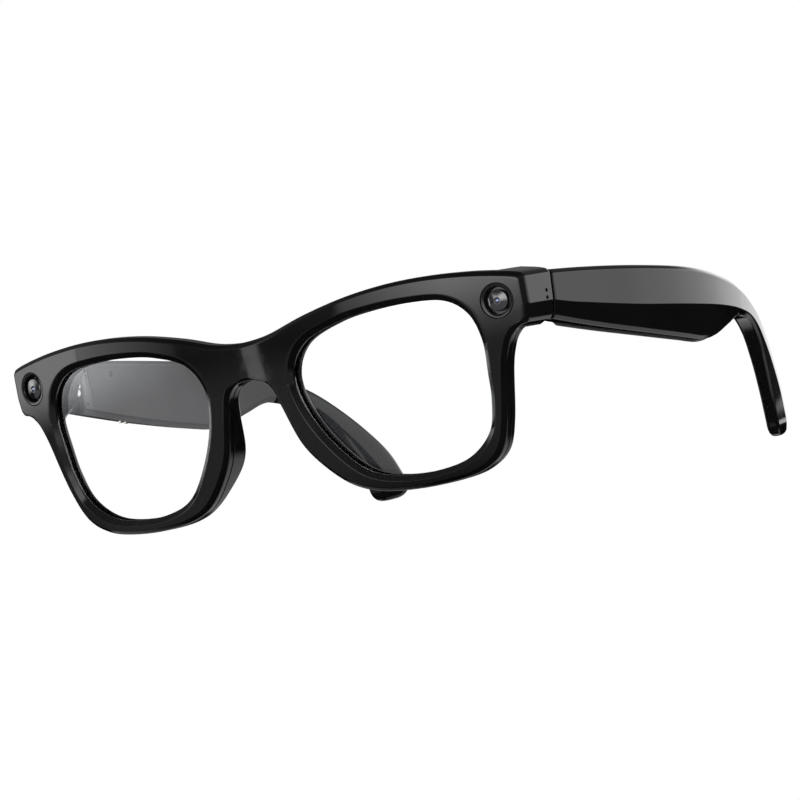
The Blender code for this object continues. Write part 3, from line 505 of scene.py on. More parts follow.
def rear_shell_section(column):
    at_bridge = not column.inward.any()
    chamfer = 0.0 if at_bridge else EDGE_CHAMFER
    edge, angle, at_end = column.edge, column.angle, column.on_endpiece
    split = SHELL_SPLIT + GAP
    outer = edge + column.inward * (ENDPIECE_WALL + GAP) if at_end else edge
    inner = outer + column.inward * chamfer
    width = np.linalg.norm(edge - opening_point(angle))
    flat_edge = opening_point(angle, min(BLOCK_INSET, 0.36 * width))
    block_inset = BLOCK_INSET + 1.0
    block_edge = opening_point(angle, block_inset if at_end else min(block_inset, 0.5 * width))
    if at_end:
        block_edge[1] = max(block_edge[1], BLOCK_FLOOR)
    reach = np.linalg.norm(inner - flat_edge)

    def back_at(place):
        if at_end:
            return endpiece_back(place)
        share = min(np.linalg.norm(place - flat_edge) / reach, 1.0)
        return RIM_DEPTH + pad_rise(place) * share * share * (3 - 2 * share)

    outer_back = endpiece_back(outer) if at_end else back_at(inner) - chamfer
    seat = LIP_DEPTH + LENS_THICK + 2 * GAP
    corners = [(front_point(opening_point(angle), RIM_DEPTH - LIP_BEVEL), 0.2, 3),
               (front_point(opening_point(angle), seat), 0.08, 2),
               (front_point(opening_point(angle, GROOVE), seat), 0, 0),
               (front_point(opening_point(angle, GROOVE), split), 0, 0),
               (front_point(outer, split), 0.1, 2),
               (front_point(outer, outer_back), 0.4, 4),
               (front_point(inner, back_at(inner)), 0.45, 4)]
    block_face = between(inner, block_edge, (0.1, 0.3, 0.5, 0.7, 0.9))
    corners += [(front_point(place, back_at(place)), 0, 0) for place in block_face]
    corners += [(front_point(block_edge, back_at(block_edge)), 0.4, 3),
                (front_point(flat_edge, RIM_DEPTH), 0.3, 3)]
    return corners


def camera_seat(side):
    x, z = CAMERA_AT
    turn = Matrix.Rotation(side * CAMERA_TOE_OUT, 4, "Z")
    return FRONT @ Matrix.Translation((side * x, face_depth(x, z), z)) @ turn


def port_seat(side, level):
    outer = ENDPIECE_UPPER_SIDE[0][0] - PORT_IN
    turn = Matrix.Rotation(-side * math.pi / 2, 4, "Z")
    return LEVEL @ Matrix.Translation((side * outer, PORT_Y, level)) @ turn


def build_front_frame(material):
    shell = build_rim(front_shell_section, "front_shell_fine")
    cutters = []
    for side in (1, -1):
        recess = eased_profile([(0, -4, 0), (RECESS_R + 2.2, -4, 0), (RECESS_R, 0.1, 0.5),
                                (RECESS_R, 4, 0), (0, 4, 0)])
        cutters.append(solid(f"recess_{side}", turned(recess), camera_seat(side)))
        for level in PORT_LEVELS:
            port = [(0, 0.1), (PORT_R, 0.1), (PORT_R, 4), (0, 4)]
            cutters.append(solid(f"port_{side}_{level}", turned(port, 32), port_seat(side, level)))
    carve(shell, *cutters)
    return finish_piece(shell, "front", material, "gloss_shell", "front_frame")


def flex_channel():
    """Channel through the brow, mirrored at the bridge, that the ribbon lies in."""
    curve = catmull_rom(FLEX_ROUTE, 40)
    path = [(-x, z) for x, z in curve[:0:-1]] + [(x, z) for x, z in curve]
    rows = []
    for x, z in path:
        low, high = (x, z - FLEX_HALF), (x, z + FLEX_HALF)
        ring = [(low, FLEX_NEAR), (high, FLEX_NEAR), (high, FLEX_FAR), (low, FLEX_FAR)]
        rows.append([front_point(p, back) for p, back in ring])
    return lofted(rows)


def build_rear_frame(material):
    shell = build_rim(rear_shell_section, "rear_shell_fine", step_gap=STEP_GAP)
    cutters = [solid("flex_channel", flex_channel(), FRONT)]
    deep, long, tall = MICROPHONE_SIZE
    outer = ENDPIECE_UPPER_SIDE[0][0] - PORT_IN
    level = sum(PORT_LEVELS) / 2
    for side in (1, -1):
        pocket = turned([(0, -1), (MODULE_POCKET_R, -1), (MODULE_POCKET_R, MODULE_POCKET_DEPTH),
                         (0, MODULE_POCKET_DEPTH)])
        cutters.append(solid(f"pocket_{side}", pocket, camera_seat(side)))
        low = (outer - deep - GAP, PORT_Y - long / 2 - GAP, level - tall / 2 - GAP)
        high = (outer + 1.0, PORT_Y + long / 2 + GAP, level + tall / 2 + GAP)
        cutters.append(solid(f"microphone_pocket_{side}", sided(block(low, high), side), LEVEL))
        low = (HINGE_X - LEAF_HALF - GAP, LEAF_FRONT - GAP, KNUCKLE_LEVELS[0] - GAP)
        high = (HINGE_X + LEAF_HALF + GAP, HINGE_Y, KNUCKLE_LEVELS[1] + GAP)
        cutters.append(solid(f"leaf_slot_{side}", sided(block(low, high), side), LEVEL))
    carve(shell, *cutters)
    return finish_piece(shell, "front", material, "gloss_shell", "rear_frame")


def build_lens(side, label, material):
    """A thin curved plate that follows the front surface and sits in the groove."""
    angles = np.linspace(0, 2 * math.pi, 160, endpoint=False)
    centre = np.array(LENS_CENTRE)
    rim = [opening_point(a, LENS_OVERLAP) for a in angles]
    near, far = LIP_DEPTH + GAP, LIP_DEPTH + GAP + LENS_THICK
    ease = 0.12

    def face_row(share, back):
        return [front_point(centre + (p - centre) * share, back) for p in rim]

    def eased_row(back):
        return [front_point(p - unit(p - centre) * ease, back) for p in rim]

    rows = [face_row(share, near) for share in np.linspace(0.06, 0.98, 14)]
    rows.append(eased_row(near))
    rows.append([front_point(p, near + ease) for p in rim])
    rows.append([front_point(p, far - ease) for p in rim])
    rows.append(eased_row(far))
    rows += [face_row(share, far) for share in np.linspace(0.98, 0.06, 14)]
    lens = solid(f"lens_fine_{label}", sided(lofted(rows), side), FRONT)
    return finish_piece(lens, "front", material, "clear_lens", f"lens_{label}")


def build_camera(side, label, mats):
    """Dished ring, a polished cone inside it, the dark floor between them and the small lens."""
    seat = camera_seat(side)
    dish = eased_profile([(DISH_R, 0.3, 0.1), (DISH_R - 0.06, 0.04, 0.08), (GROOVE_R + 0.12, 0.16, 0.3),
                          (GROOVE_R, 0.28, 0.08), (GROOVE_R, 1.9, 0), (DISH_R, 1.9, 0)], closed=True)
    ring = solid(f"camera_ring_{label}", turned(dish), seat)
    finish_piece(ring, "front", mats["bezel"], "bezel", f"camera_bezel_{label}")
    cone = eased_profile([(EYE_R + 0.04, 0.34, 0), (EYE_R + 0.2, 0.27, 0.06),
                          (CONE_R - 0.08, 0.56, 0.1), (CONE_R, 0.68, 0.06),
                          (CONE_R, 1.4, 0), (EYE_R + 0.04, 1.4, 0)], closed=True)
    glass = solid(f"camera_glass_{label}", turned(cone, 160), seat, crease=60.0)
    finish_piece(glass, "front", mats["glass"], "camera_glass", f"camera_window_{label}")
    floor = [(CONE_R + 0.03, 1.5), (GROOVE_R - 0.03, 1.5),
             (GROOVE_R - 0.03, 1.8), (CONE_R + 0.03, 1.8)]
    baffle = solid(f"camera_baffle_{label}", turned(floor), seat)
    finish_piece(baffle, "front", mats["baffle"], "bezel")
    turns = np.linspace(0, math.pi / 2, 10)
    bead = [(EYE_R * math.sin(t), 0.3 + 0.3 * (1 - math.cos(t))) for t in turns]
    element = solid(f"camera_element_{label}", turned(bead + [(EYE_R, 1.3), (0, 1.3)], 48), seat)
    finish_piece(element, "front", mats["element"], "camera_glass")


# ---------------------------------------------------------------- temples


TEMPLE_CURVE = catmull_rom(TEMPLE_RUN, 400)
MIDDLE_CURVE = catmull_rom(TEMPLE_MIDDLE, 400)
CREASE_CURVE = catmull_rom(CREASE_RUN, 240)


def temple_middle(y):
    return float(np.interp(y, MIDDLE_CURVE[:, 0], MIDDLE_CURVE[:, 1]))


def temple_half(y):
    share = min(max((y - TEMPLE_START) / 100.0, 0.0), 1.0)
    return TEMPLE_HALF_FRONT + (TEMPLE_HALF_TIP - TEMPLE_HALF_FRONT) * share


def station_at(y):
    """Section line across the temple: (top y, top z, bottom y, bottom z)."""
    return np.array([np.interp(y, TEMPLE_CURVE[:, 0], TEMPLE_CURVE[:, k]) for k in range(4)])


def rung_height(station):
    return float(np.linalg.norm(station[2:] - station[:2]))


def rung_point(station, down, inward_mm, side):
    """Point at a distance down from the top edge and inward from the outer face."""
    top, bottom = station[:2], station[2:]
    y, z = top + (bottom - top) * (down / rung_height(station))
    outer = temple_middle(y) + temple_half(y)
    return (side * (outer - inward_mm), float(y), float(z))


def shell_corners(station):
    """Corners (down, inward) of the outer shell's section, which is a tray along the cavity."""
    height = rung_height(station)
    y = station[0]
    thick = 2 * temple_half(y)
    full = smooth_share((y - COVER_END - GAP) / FULL_RAMP)
    part = thick * (SHELL_PART + (1 - SHELL_PART) * full)
    hollow = CAVITY_START < y < CAVITY_END
    cut = WALL if hollow else part
    crease = float(np.interp(y, CREASE_CURVE[:, 0], CREASE_CURVE[:, 1]))
    foot = height - FOOT_RISE
    fall = (foot - FOOT_CHAMFER - crease) * FACET_SLOPE
    inner_round = EDGE_ROUND * full
    lip = 0.12 + 0.38 * full
    return [((0.0, EDGE_ROUND), 0.4, 4), ((EDGE_ROUND, 0.0), 0.4, 4), ((crease, 0.0), 0.14, 3),
            ((foot - FOOT_CHAMFER, fall), 0.12, 3), ((foot, fall + FOOT_CHAMFER), 0.2, 4),
            ((foot, part - inner_round), lip, 3), ((height - WALL, part), lip, 3),
            ((height - WALL, cut + fall if hollow else part), 0, 0), ((crease, cut), 0, 0),
            ((WALL, cut), 0, 0), ((WALL, part), lip, 3), ((0.0, part - inner_round), lip, 3)]


def inset(ring, amount):
    """Ring of (down, inward) points moved inside by an amount."""
    ring = np.array(ring)
    if amount == 0:
        return ring
    tangent = np.roll(ring, -1, axis=0) - np.roll(ring, 1, axis=0)
    normal = np.stack([-tangent[:, 1], tangent[:, 0]], 1)
    length = np.linalg.norm(normal, axis=1)[:, None]
    return ring + np.divide(normal, length, out=np.zeros_like(normal), where=length > 1e-9) * amount


def shell_row(station, side, cap=1.0, amount=0.0):
    ring = inset(eased_ring(shell_corners(station)), amount)
    centre = np.array([rung_height(station) / 2, temple_half(station[0])])
    return [rung_point(station, *(centre + (p - centre) * cap), side) for p in ring]


def tip_rows(last, side):
    """Rows of the blunt rounded end beyond the last station."""
    direction = unit(np.array([last[1] - last[3], -(last[0] - last[2])]))
    if direction[1] > 0:
        direction = -direction
    rows = []
    for turn in np.linspace(0.12, 0.97, 10):
        shift = direction * TIP_CAP * math.sin(turn * math.pi / 2)
        moved = last + np.concatenate([shift, shift])
        cap = math.cos(turn * math.pi / 2) ** TIP_FULLNESS
        rows.append(shell_row(moved, side, cap=cap))
    return rows


def build_temple_shell(side, label, material):
    """The outer shell with its ear tip.

    Known fault: its cuts are not made, because the solver refuses the mesh as non-manifold. The
    likely cause, which was not tested, is that the fade over FULL_RAMP brings corner points closer
    together than the merging distance.
    """
    marks = [edge + nudge for edge in (CAVITY_START, CAVITY_END) for nudge in (-0.01, 0.01)]
    ys = sorted(list(catmull_rom(TEMPLE_RUN, 190)[1:, 0]) + marks)
    easing = [(0.0, 0.3), (0.06, 0.13), (0.14, 0.05), (0.3, 0.0)]
    rows = [shell_row(station_at(TEMPLE_START + dy), side, amount=a) for dy, a in easing]
    rows += [shell_row(station_at(y), side) for y in ys if y > TEMPLE_START + 0.4]
    rows += tip_rows(station_at(ys[-1]), side)
    shell = solid(f"temple_fine_{label}", lofted(rows), LEVEL)
    screw_r = SCREW_R + BORE_CLEARANCE
    screw = turned([(0, -2), (screw_r, -2), (screw_r, 3.7), (0, 3.7)], 32)
    cutters = [solid(f"screw_bore_{label}", screw, screw_seat(side))]
    if side < 0:
        cutters.append(solid("button_slot", sided(button_slot(), side), LEVEL))
        hole_r = CONTACT_R + CONTACT_CLEARANCE
        for y in CONTACT_AT:
            hole = turned([(0, -2), (hole_r, -2), (hole_r, 2.5), (0, 2.5)], 40)
            cutters.append(solid(f"contact_bore_{y}", hole, contact_seat(y)))
    carve(shell, *cutters)
    return finish_piece(shell, f"{label}_temple", material, "gloss_shell", f"temple_shell_{label}")


def screw_seat(side):
    """Axes at the hinge screw, with y running out through the shell."""
    half = temple_half(SCREW_LEAF_Y)
    outer = temple_middle(SCREW_LEAF_Y) + half - 2 * half * SHELL_PART - GAP
    y, z = SCREW_AT
    turn = Matrix.Rotation(-side * math.pi / 2, 4, "Z")
    return LEVEL @ Matrix.Translation((side * (outer - SCREW_INSET), y, z)) @ turn


def button_span():
    """Near and far x of the button, and the temple's top level there."""
    outer = temple_middle(BUTTON_AT) + temple_half(BUTTON_AT)
    return outer - BUTTON_IN[0], outer - BUTTON_IN[1], station_at(BUTTON_AT)[1]


def button_slot():
    near, far, top = button_span()
    half = BUTTON_LENGTH / 2 + GAP
    low = (near - GAP, BUTTON_AT - half, top - WALL - 0.8)
    return block(low, (far + GAP, BUTTON_AT + half, top + 2.0))


def build_button(material):
    """Rounded key that stands a little proud of the temple's top edge."""
    near, far, top = button_span()
    half, middle = BUTTON_LENGTH / 2, (near + far) / 2
    wide = (far - near) / 2
    levels = ((top - WALL - 0.2, 0.0), (top + 0.3, 0.0), (top + 0.46, 0.04), (top + 0.56, 0.13),
              (top + 0.6, 0.28))
    rows = []
    for level, shrink in levels:
        w, h = wide - shrink, half - shrink
        corner = BUTTON_CORNER - shrink * 0.5
        left, right = middle - w, middle + w
        ring = [(left, BUTTON_AT - h), (right, BUTTON_AT - h), (right, BUTTON_AT + h), (left, BUTTON_AT + h)]
        rows.append([(*p, level) for p in eased_ring([(np.array(q), corner, 6) for q in ring])])
    key = solid("capture_key_right", sided(lofted(rows), -1), LEVEL)
    return finish_piece(key, "capture_button", material, "button", "capture_button_right")


def cover_row(station, side, amount):
    """Section of the inner cover, eased on its inner face."""
    y = station[0]
    height = rung_height(station)
    thick = 2 * temple_half(y)
    near = thick * SHELL_PART + GAP
    corners = [((0.0, near), 0.1, 2), ((0.0, thick - EDGE_ROUND), 0.4, 4),
               ((EDGE_ROUND, thick), 0.4, 4), ((height - EDGE_ROUND, thick), 0.4, 4),
               ((height, thick - EDGE_ROUND), 0.4, 4), ((height, near), 0.1, 2)]
    ring = inset(eased_ring(corners), -amount)
    return [rung_point(station, d, u, side) for d, u in ring]


def build_cover(side, label, material):
    ease = [(0.0, 0.22), (0.07, 0.09), (0.22, 0.0)]
    rows = [cover_row(station_at(COVER_START + dy), side, a) for dy, a in ease]
    ys = np.linspace(COVER_START + 0.8, COVER_END - 0.8, 110)
    rows += [cover_row(station_at(y), side, 0.0) for y in ys]
    rows += [cover_row(station_at(COVER_END - dy), side, a) for dy, a in reversed(ease)]
    cover = solid(f"cover_fine_{label}", lofted(rows), LEVEL)
    cutters = []
    for number, place in enumerate(COVER_HOLES):
        hole = turned([(0, -1), (COVER_HOLE_R, -1), (COVER_HOLE_R, 0.9), (0, 0.9)], 32)
        cutters.append(solid(f"cover_hole_{number}", hole, cover_seat(side, place)))
    if side < 0:
        light_r = LIGHT_R + BORE_CLEARANCE
        light = turned([(0, -3), (light_r, -3), (light_r, 3), (0, 3)], 40)
        cutters.append(solid("light_bore", light, cover_seat(side, LIGHT_AT)))
    carve(cover, *cutters)
    return finish_piece(cover, f"{label}_temple", material, "satin_cover", f"temple_cover_{label}")


def contact_seat(y):
    """Axes on the underside of the right temple, with y running up into it."""
    outer = temple_middle(y) + temple_half(y)
    place = (-(outer - CONTACT_IN), y, station_at(y)[3])
    return LEVEL @ Matrix.Translation(place) @ Matrix.Rotation(math.pi / 2, 4, "X")


def cover_seat(side, place):
    """Axes on the cover's inner face, with y running into it."""
    y, z = place
    inner = temple_middle(y) - temple_half(y)
    turn = Matrix.Rotation(-side * math.pi / 2, 4, "Z")
    return LEVEL @ Matrix.Translation((side * inner, y, z)) @ turn


def build_contacts(material):
    for number, y in enumerate(CONTACT_AT, 1):
        profile = eased_profile([(0, -CONTACT_PROUD, 0), (CONTACT_R, -CONTACT_PROUD, 0.16),
                                 (CONTACT_R, 1.1, 0.05), (0, 1.1, 0)])
        pin = solid(f"contact_pin_{number}", turned(profile, 48), contact_seat(y))
        finish_piece(pin, "right_temple", material, "contact_metal", f"charging_contact_{number}")


def build_status_light(material):
    profile = eased_profile([(0, 0.1, 0), (LIGHT_R, 0.1, 0.12), (LIGHT_R, 1.3, 0.04), (0, 1.3, 0)])
    pipe = solid("light_pipe_right", turned(profile, 40), cover_seat(-1, LIGHT_AT))
    return finish_piece(pipe, "right_temple", material, "light_pipe", "status_light_right")


# ---------------------------------------------------------------- materials


class Graph:
    """Short way to write a shader as nested calls."""

    def __init__(self, tree):
        self.tree = tree
        tree.nodes.clear()

    def add(self, kind, settings=None, inputs=None, output=0):
        node = self.tree.nodes.new("ShaderNode" + kind)
        for key, value in (settings or {}).items():
            setattr(node, key, value)
        for key, value in (inputs or {}).items():
            self.put(node.inputs[key], value)
        return node.outputs[output] if node.outputs else None

    def put(self, socket, value):
        if isinstance(value, bpy.types.NodeSocket):
            self.tree.links.new(value, socket)
        else:
            socket.default_value = value

    def math(self, operation, *values):
        return self.add("Math", {"operation": operation}, dict(enumerate(values)))

    def ramp(self, value, low, high, start=0.0, end=1.0, smooth=True):
        kind = "SMOOTHSTEP" if smooth else "LINEAR"
        inputs = {"Value": value, "From Min": low, "From Max": high, "To Min": start, "To Max": end}
        return self.add("MapRange", {"interpolation_type": kind}, inputs)

    def noise(self, scale, detail=2.0, stretch=(1, 1, 1)):
        place = self.add("TexCoord", output=3)
        moved = self.add("Mapping", None, {"Vector": place, "Scale": stretch})
        return self.add("TexNoise", None, {"Vector": moved, "Scale": scale, "Detail": detail})

    def mix_colour(self, factor, low, high):
        inputs = {"Factor": factor, 6: (*low, 1.0), 7: (*high, 1.0)}
        return self.add("Mix", {"data_type": "RGBA"}, inputs, output=2)

    def fresnel(self, ior):
        """Mirror share of a thin clear piece, the same from either side of its surface."""
        behind = self.add("NewGeometry", output=6)
        return self.add("Fresnel", None, {"IOR": self.ramp(behind, 0.0, 1.0, ior, 1.0 / ior, smooth=False)})

    def bump(self, height, distance, strength=1.0):
        return self.add("Bump", None, {"Height": height, "Distance": distance, "Strength": strength})

    def surface(self, shader):
        self.add("OutputMaterial", None, {"Surface": shader})


def new_graph(name):
    material = bpy.data.materials.new(name)
    material.use_nodes = True
    return material, Graph(material.node_tree)


def gloss_black(name, base=0.0035, polish=0.035):
    """Polished moulded plastic: faint orange peel, hairlines and handling marks."""
    material, g = new_graph(name)
    haze = g.noise(350.0, 4.0)
    hair = g.noise(1500.0, 2.0, stretch=(1.0, 0.04, 1.0))
    hairline = g.ramp(hair, 0.69, 0.76)
    rough = g.math("ADD", g.ramp(haze, 0.45, 0.8, polish, polish + 0.05), g.math("MULTIPLY", hairline, 0.06))
    edge = g.ramp(g.add("NewGeometry", output=7), 0.56, 0.72)
    rough = g.math("ADD", rough, g.math("MULTIPLY", edge, 0.05))
    tone = g.ramp(g.noise(60.0, 3.0), 0.3, 0.7)
    colour = g.mix_colour(tone, (base, base, base * 1.1), (base * 1.5, base * 1.5, base * 1.6))
    peel = g.bump(g.noise(600.0, 1.0), 0.0000002)
    g.surface(g.add("BsdfPrincipled", None, {"Base Color": colour, "Roughness": rough, "IOR": 1.5,
                                             "Normal": peel}))
    return material


def satin_black(name, base=0.03, rough=0.42):
    """Fine-textured plastic of the inner covers, a little shinier where it is handled."""
    material, g = new_graph(name)
    grain = g.noise(5200.0, 2.0)
    wear = g.ramp(g.noise(90.0, 4.0), 0.35, 0.75)
    roughness = g.math("SUBTRACT", rough, g.math("MULTIPLY", wear, 0.07))
    dark = (base * 0.8, base * 0.8, base * 0.85)
    colour = g.mix_colour(grain, dark, (base * 1.25, base * 1.25, base * 1.3))
    g.surface(g.add("BsdfPrincipled", None, {"Base Color": colour, "Roughness": roughness, "IOR": 1.5,
                                             "Normal": g.bump(grain, 0.000006, 0.6)}))
    return material


def clear_lens(name):
    """Coated clear lens: what is behind shows through, reflections lie over it."""
    material, g = new_graph(name)
    smear = g.ramp(g.noise(70.0, 5.0, stretch=(1, 1, 0.35)), 0.5, 0.8)
    rough = g.math("MULTIPLY", smear, 0.012)
    share = g.fresnel(1.5)
    red, green = g.math("MULTIPLY", share, 0.93), g.math("MULTIPLY", share, 0.96)
    tint = g.add("CombineColor", None, {0: red, 1: green, 2: share})
    mirror = g.add("BsdfGlossy", None, {"Color": tint, "Roughness": rough})
    through = g.add("BsdfTransparent", None, {"Color": (0.996, 0.998, 0.997, 1.0)})
    g.surface(g.add("AddShader", None, {0: through, 1: mirror}))
    return material


def camera_glass(name):
    """Coated dark glass: a strong mirror over near black, with faint smudges."""
    material, g = new_graph(name)
    tint = g.mix_colour(g.noise(500.0, 3.0), (0.004, 0.004, 0.006), (0.012, 0.012, 0.018))
    rough = g.ramp(g.noise(900.0, 3.0), 0.45, 0.75, 0.015, 0.05)
    g.surface(g.add("BsdfPrincipled", None, {"Base Color": tint, "Roughness": rough, "IOR": 2.3}))
    return material


def lens_element(name):
    """Coated front element of the camera: blue-white sheen over near black."""
    material, g = new_graph(name)
    facing = g.add("LayerWeight", None, {"Blend": 0.35}, output=1)
    sheen = g.mix_colour(facing, (0.30, 0.36, 0.55), (0.75, 0.8, 0.95))
    rough = g.ramp(g.noise(2500.0), 0.3, 0.7, 0.05, 0.12)
    g.surface(g.add("BsdfPrincipled", None, {"Base Color": sheen, "Roughness": rough, "Metallic": 0.75}))
    return material


def brushed_metal(name, colour, rough=0.28, stretch=(1.0, 1.0, 0.03)):
    """Metal with a fine one-way grain and slightly duller patches."""
    material, g = new_graph(name)
    grain = g.noise(9000.0, 2.0, stretch=stretch)
    patch = g.ramp(g.noise(400.0, 3.0), 0.4, 0.7)
    brushed = g.ramp(grain, 0.3, 0.7, rough - 0.06, rough + 0.08)
    roughness = g.math("ADD", brushed, g.math("MULTIPLY", patch, 0.08))
    worn = g.mix_colour(patch, colour, tuple(c * 0.82 for c in colour))
    g.surface(g.add("BsdfPrincipled", None, {"Base Color": worn, "Metallic": 1.0, "Roughness": roughness,
                                             "Normal": g.bump(grain, 0.000004, 0.5)}))
    return material


def moulded(name, low, high, rough, scale=3000.0):
    """Moulded plastic with a mottled colour and a fine texture."""
    material, g = new_graph(name)
    grain = g.noise(scale, 3.0)
    roughness = g.ramp(grain, 0.3, 0.7, rough - 0.05, rough + 0.07)
    colour = g.mix_colour(grain, low, high)
    g.surface(g.add("BsdfPrincipled", None, {"Base Color": colour, "Roughness": roughness,
                                             "Normal": g.bump(grain, 0.00001, 0.5)}))
    return material


def circuit_green(name):
    """Solder mask with copper traces below it and bright pads."""
    material, g = new_graph(name)
    place = g.add("TexCoord", output=3)
    pattern = {"feature": "DISTANCE_TO_EDGE", "distance": "MANHATTAN"}
    cells = g.add("TexVoronoi", pattern, {"Vector": place, "Scale": 900.0})
    trace = g.ramp(cells, 0.03, 0.08, 1.0, 0.0)
    dots = g.add("TexVoronoi", None, {"Vector": place, "Scale": 700.0})
    pad = g.ramp(dots, 0.16, 0.2, 1.0, 0.0)
    board = g.mix_colour(trace, (0.01, 0.07, 0.03), (0.03, 0.16, 0.06))
    plated = {"Factor": pad, 6: board, 7: (0.75, 0.62, 0.35, 1.0)}
    colour = g.add("Mix", {"data_type": "RGBA"}, plated, output=2)
    g.surface(g.add("BsdfPrincipled", None, {"Base Color": colour, "Metallic": pad, "Roughness": 0.35,
                                             "Normal": g.bump(trace, 0.00002)}))
    return material


def build_materials():
    return {
        "shell": gloss_black("polished_black"),
        "cover": satin_black("satin_black", base=0.058, rough=0.5),
        "lens": clear_lens("coated_clear"),
        "bezel": gloss_black("bezel_black", base=0.003, polish=0.06),
        "glass": camera_glass("camera_window_glass"),
        "baffle": gloss_black("baffle_black", base=0.004, polish=0.16),
        "element": lens_element("camera_coating"),
        "button": satin_black("button_black", base=0.02, rough=0.3),
        "steel": brushed_metal("hinge_steel", (0.56, 0.56, 0.57)),
        "contact": brushed_metal("contact_plating", (0.93, 0.9, 0.82), rough=0.16),
        "can": brushed_metal("pressed_can", (0.32, 0.32, 0.33), rough=0.34),
        "foil": brushed_metal("cell_foil", (0.62, 0.62, 0.64), rough=0.36, stretch=(1.0, 0.4, 1.0)),
        "light": gloss_black("light_pipe_smoked", base=0.012, polish=0.12),
        "barrel": moulded("camera_barrel", (0.02, 0.02, 0.022), (0.05, 0.05, 0.055), 0.45),
        "ribbon": moulded("ribbon_polyimide", (0.28, 0.12, 0.02), (0.42, 0.2, 0.04), 0.35, scale=900.0),
        "board": circuit_green("circuit_green"),
    }


CARRIED_OVER = {"front_hinge_leaf": "steel", "temple_hinge_leaf": "steel", "hinge_pin": "steel",
                "hinge_screw": "steel", "microphone": "can", "speaker": "can", "battery": "foil",
                "circuit_board": "board", "camera_module": "barrel", "front_flex_cable": "ribbon",
                "touch_sensor": "ribbon"}
EASED_NODES = ("front_hinge_leaf", "temple_hinge_leaf", "hinge_pin", "hinge_screw", "speaker", "battery",
               "microphone")
NODE_EASING = 0.00008


def dress_carried_over(mats):
    """Node materials, and eased edges where they suit, on the solids that stay as they are."""
    for name, node in frame["nodes"].items():
        kind = next((key for key in CARRIED_OVER if name.startswith(key)), None)
        if kind is None or node.hide_render:
            continue
        node.data.materials.clear()
        node.data.materials.append(mats[CARRIED_OVER[kind]])
        if kind in EASED_NODES:
            bevel = node.modifiers.new("eased_edges", "BEVEL")
            bevel.width = NODE_EASING
            bevel.segments = 2
            bevel.limit_method = "ANGLE"
            bevel.angle_limit = math.radians(50)


# ---------------------------------------------------------------- studio


class Softbox(NamedTuple):
    """A panel of light seen in reflections, as spans of azimuth and elevation in degrees.

    Azimuth 0 is in front of the glasses and 90 at the wearer's left. A span is (from, to), a
    feather is how softly each end fades, and glow is the brightness at each end of the azimuth.
    """

    azimuth: tuple
    feather: tuple
    elevation: tuple
    fade: tuple
    glow: tuple


SOFTBOXES = [
    Softbox((-28, -15.9), (0.15, 0.1), (-9, 19), (12, 9), (0.8, 3.3)),
    Softbox((-16, 34), (0.1, 18), (-9, 19), (12, 9), (3.3, 0.9)),
    Softbox((-56, -44), (0.1, 0.1), (-7, 20), (6, 10), (1.6, 0.15)),
    Softbox((-95, -56), (25, 0.1), (-7, 20), (6, 10), (1.6, 2.7)),
    Softbox((-37.6, -36.0), (0.1, 0.1), (-16, 8), (6, 4), (1.5, 1.5)),
    Softbox((82, 130), (8, 0.1), (-3.6, 30), (1.2, 12), (0.8, 1.12)),
    Softbox((130, 180), (0.1, 0.1), (-3.6, 30), (1.2, 12), (1.12, 2.3)),
    Softbox((-180, -151), (0.1, 9), (-3.6, 30), (1.2, 12), (2.1, 1.5)),
    Softbox((105, 180), (20, 0.1), (-62, -23), (10, 8), (0.7, 0.7)),
    Softbox((-180, -105), (0.1, 20), (-62, -23), (10, 8), (0.7, 0.7)),
    Softbox((-70, 60), (12, 20), (-30, -2), (10, 6), (0.26, 0.3)),
]
AMBIENT = 0.15
AMBIENT_TOP = (38.0, 60.0, -0.12)
DOME = 0.95
DEGREES = 180 / math.pi


def box_light(g, azimuth, elevation, box):
    """Brightness that one softbox adds in a direction."""
    (a0, a1), (e0, e1) = box.azimuth, box.elevation
    left = g.ramp(azimuth, a0, a0 + box.feather[0])
    right = g.ramp(azimuth, a1 - box.feather[1], a1, 1.0, 0.0)
    low = g.ramp(elevation, e0, e0 + box.fade[0])
    high = g.ramp(elevation, e1 - box.fade[1], e1, 1.0, 0.0)
    glow = g.ramp(azimuth, a0, a1, *box.glow, smooth=False)
    shape = g.math("MULTIPLY", g.math("MULTIPLY", left, right), g.math("MULTIPLY", low, high))
    return g.math("MULTIPLY", shape, glow)


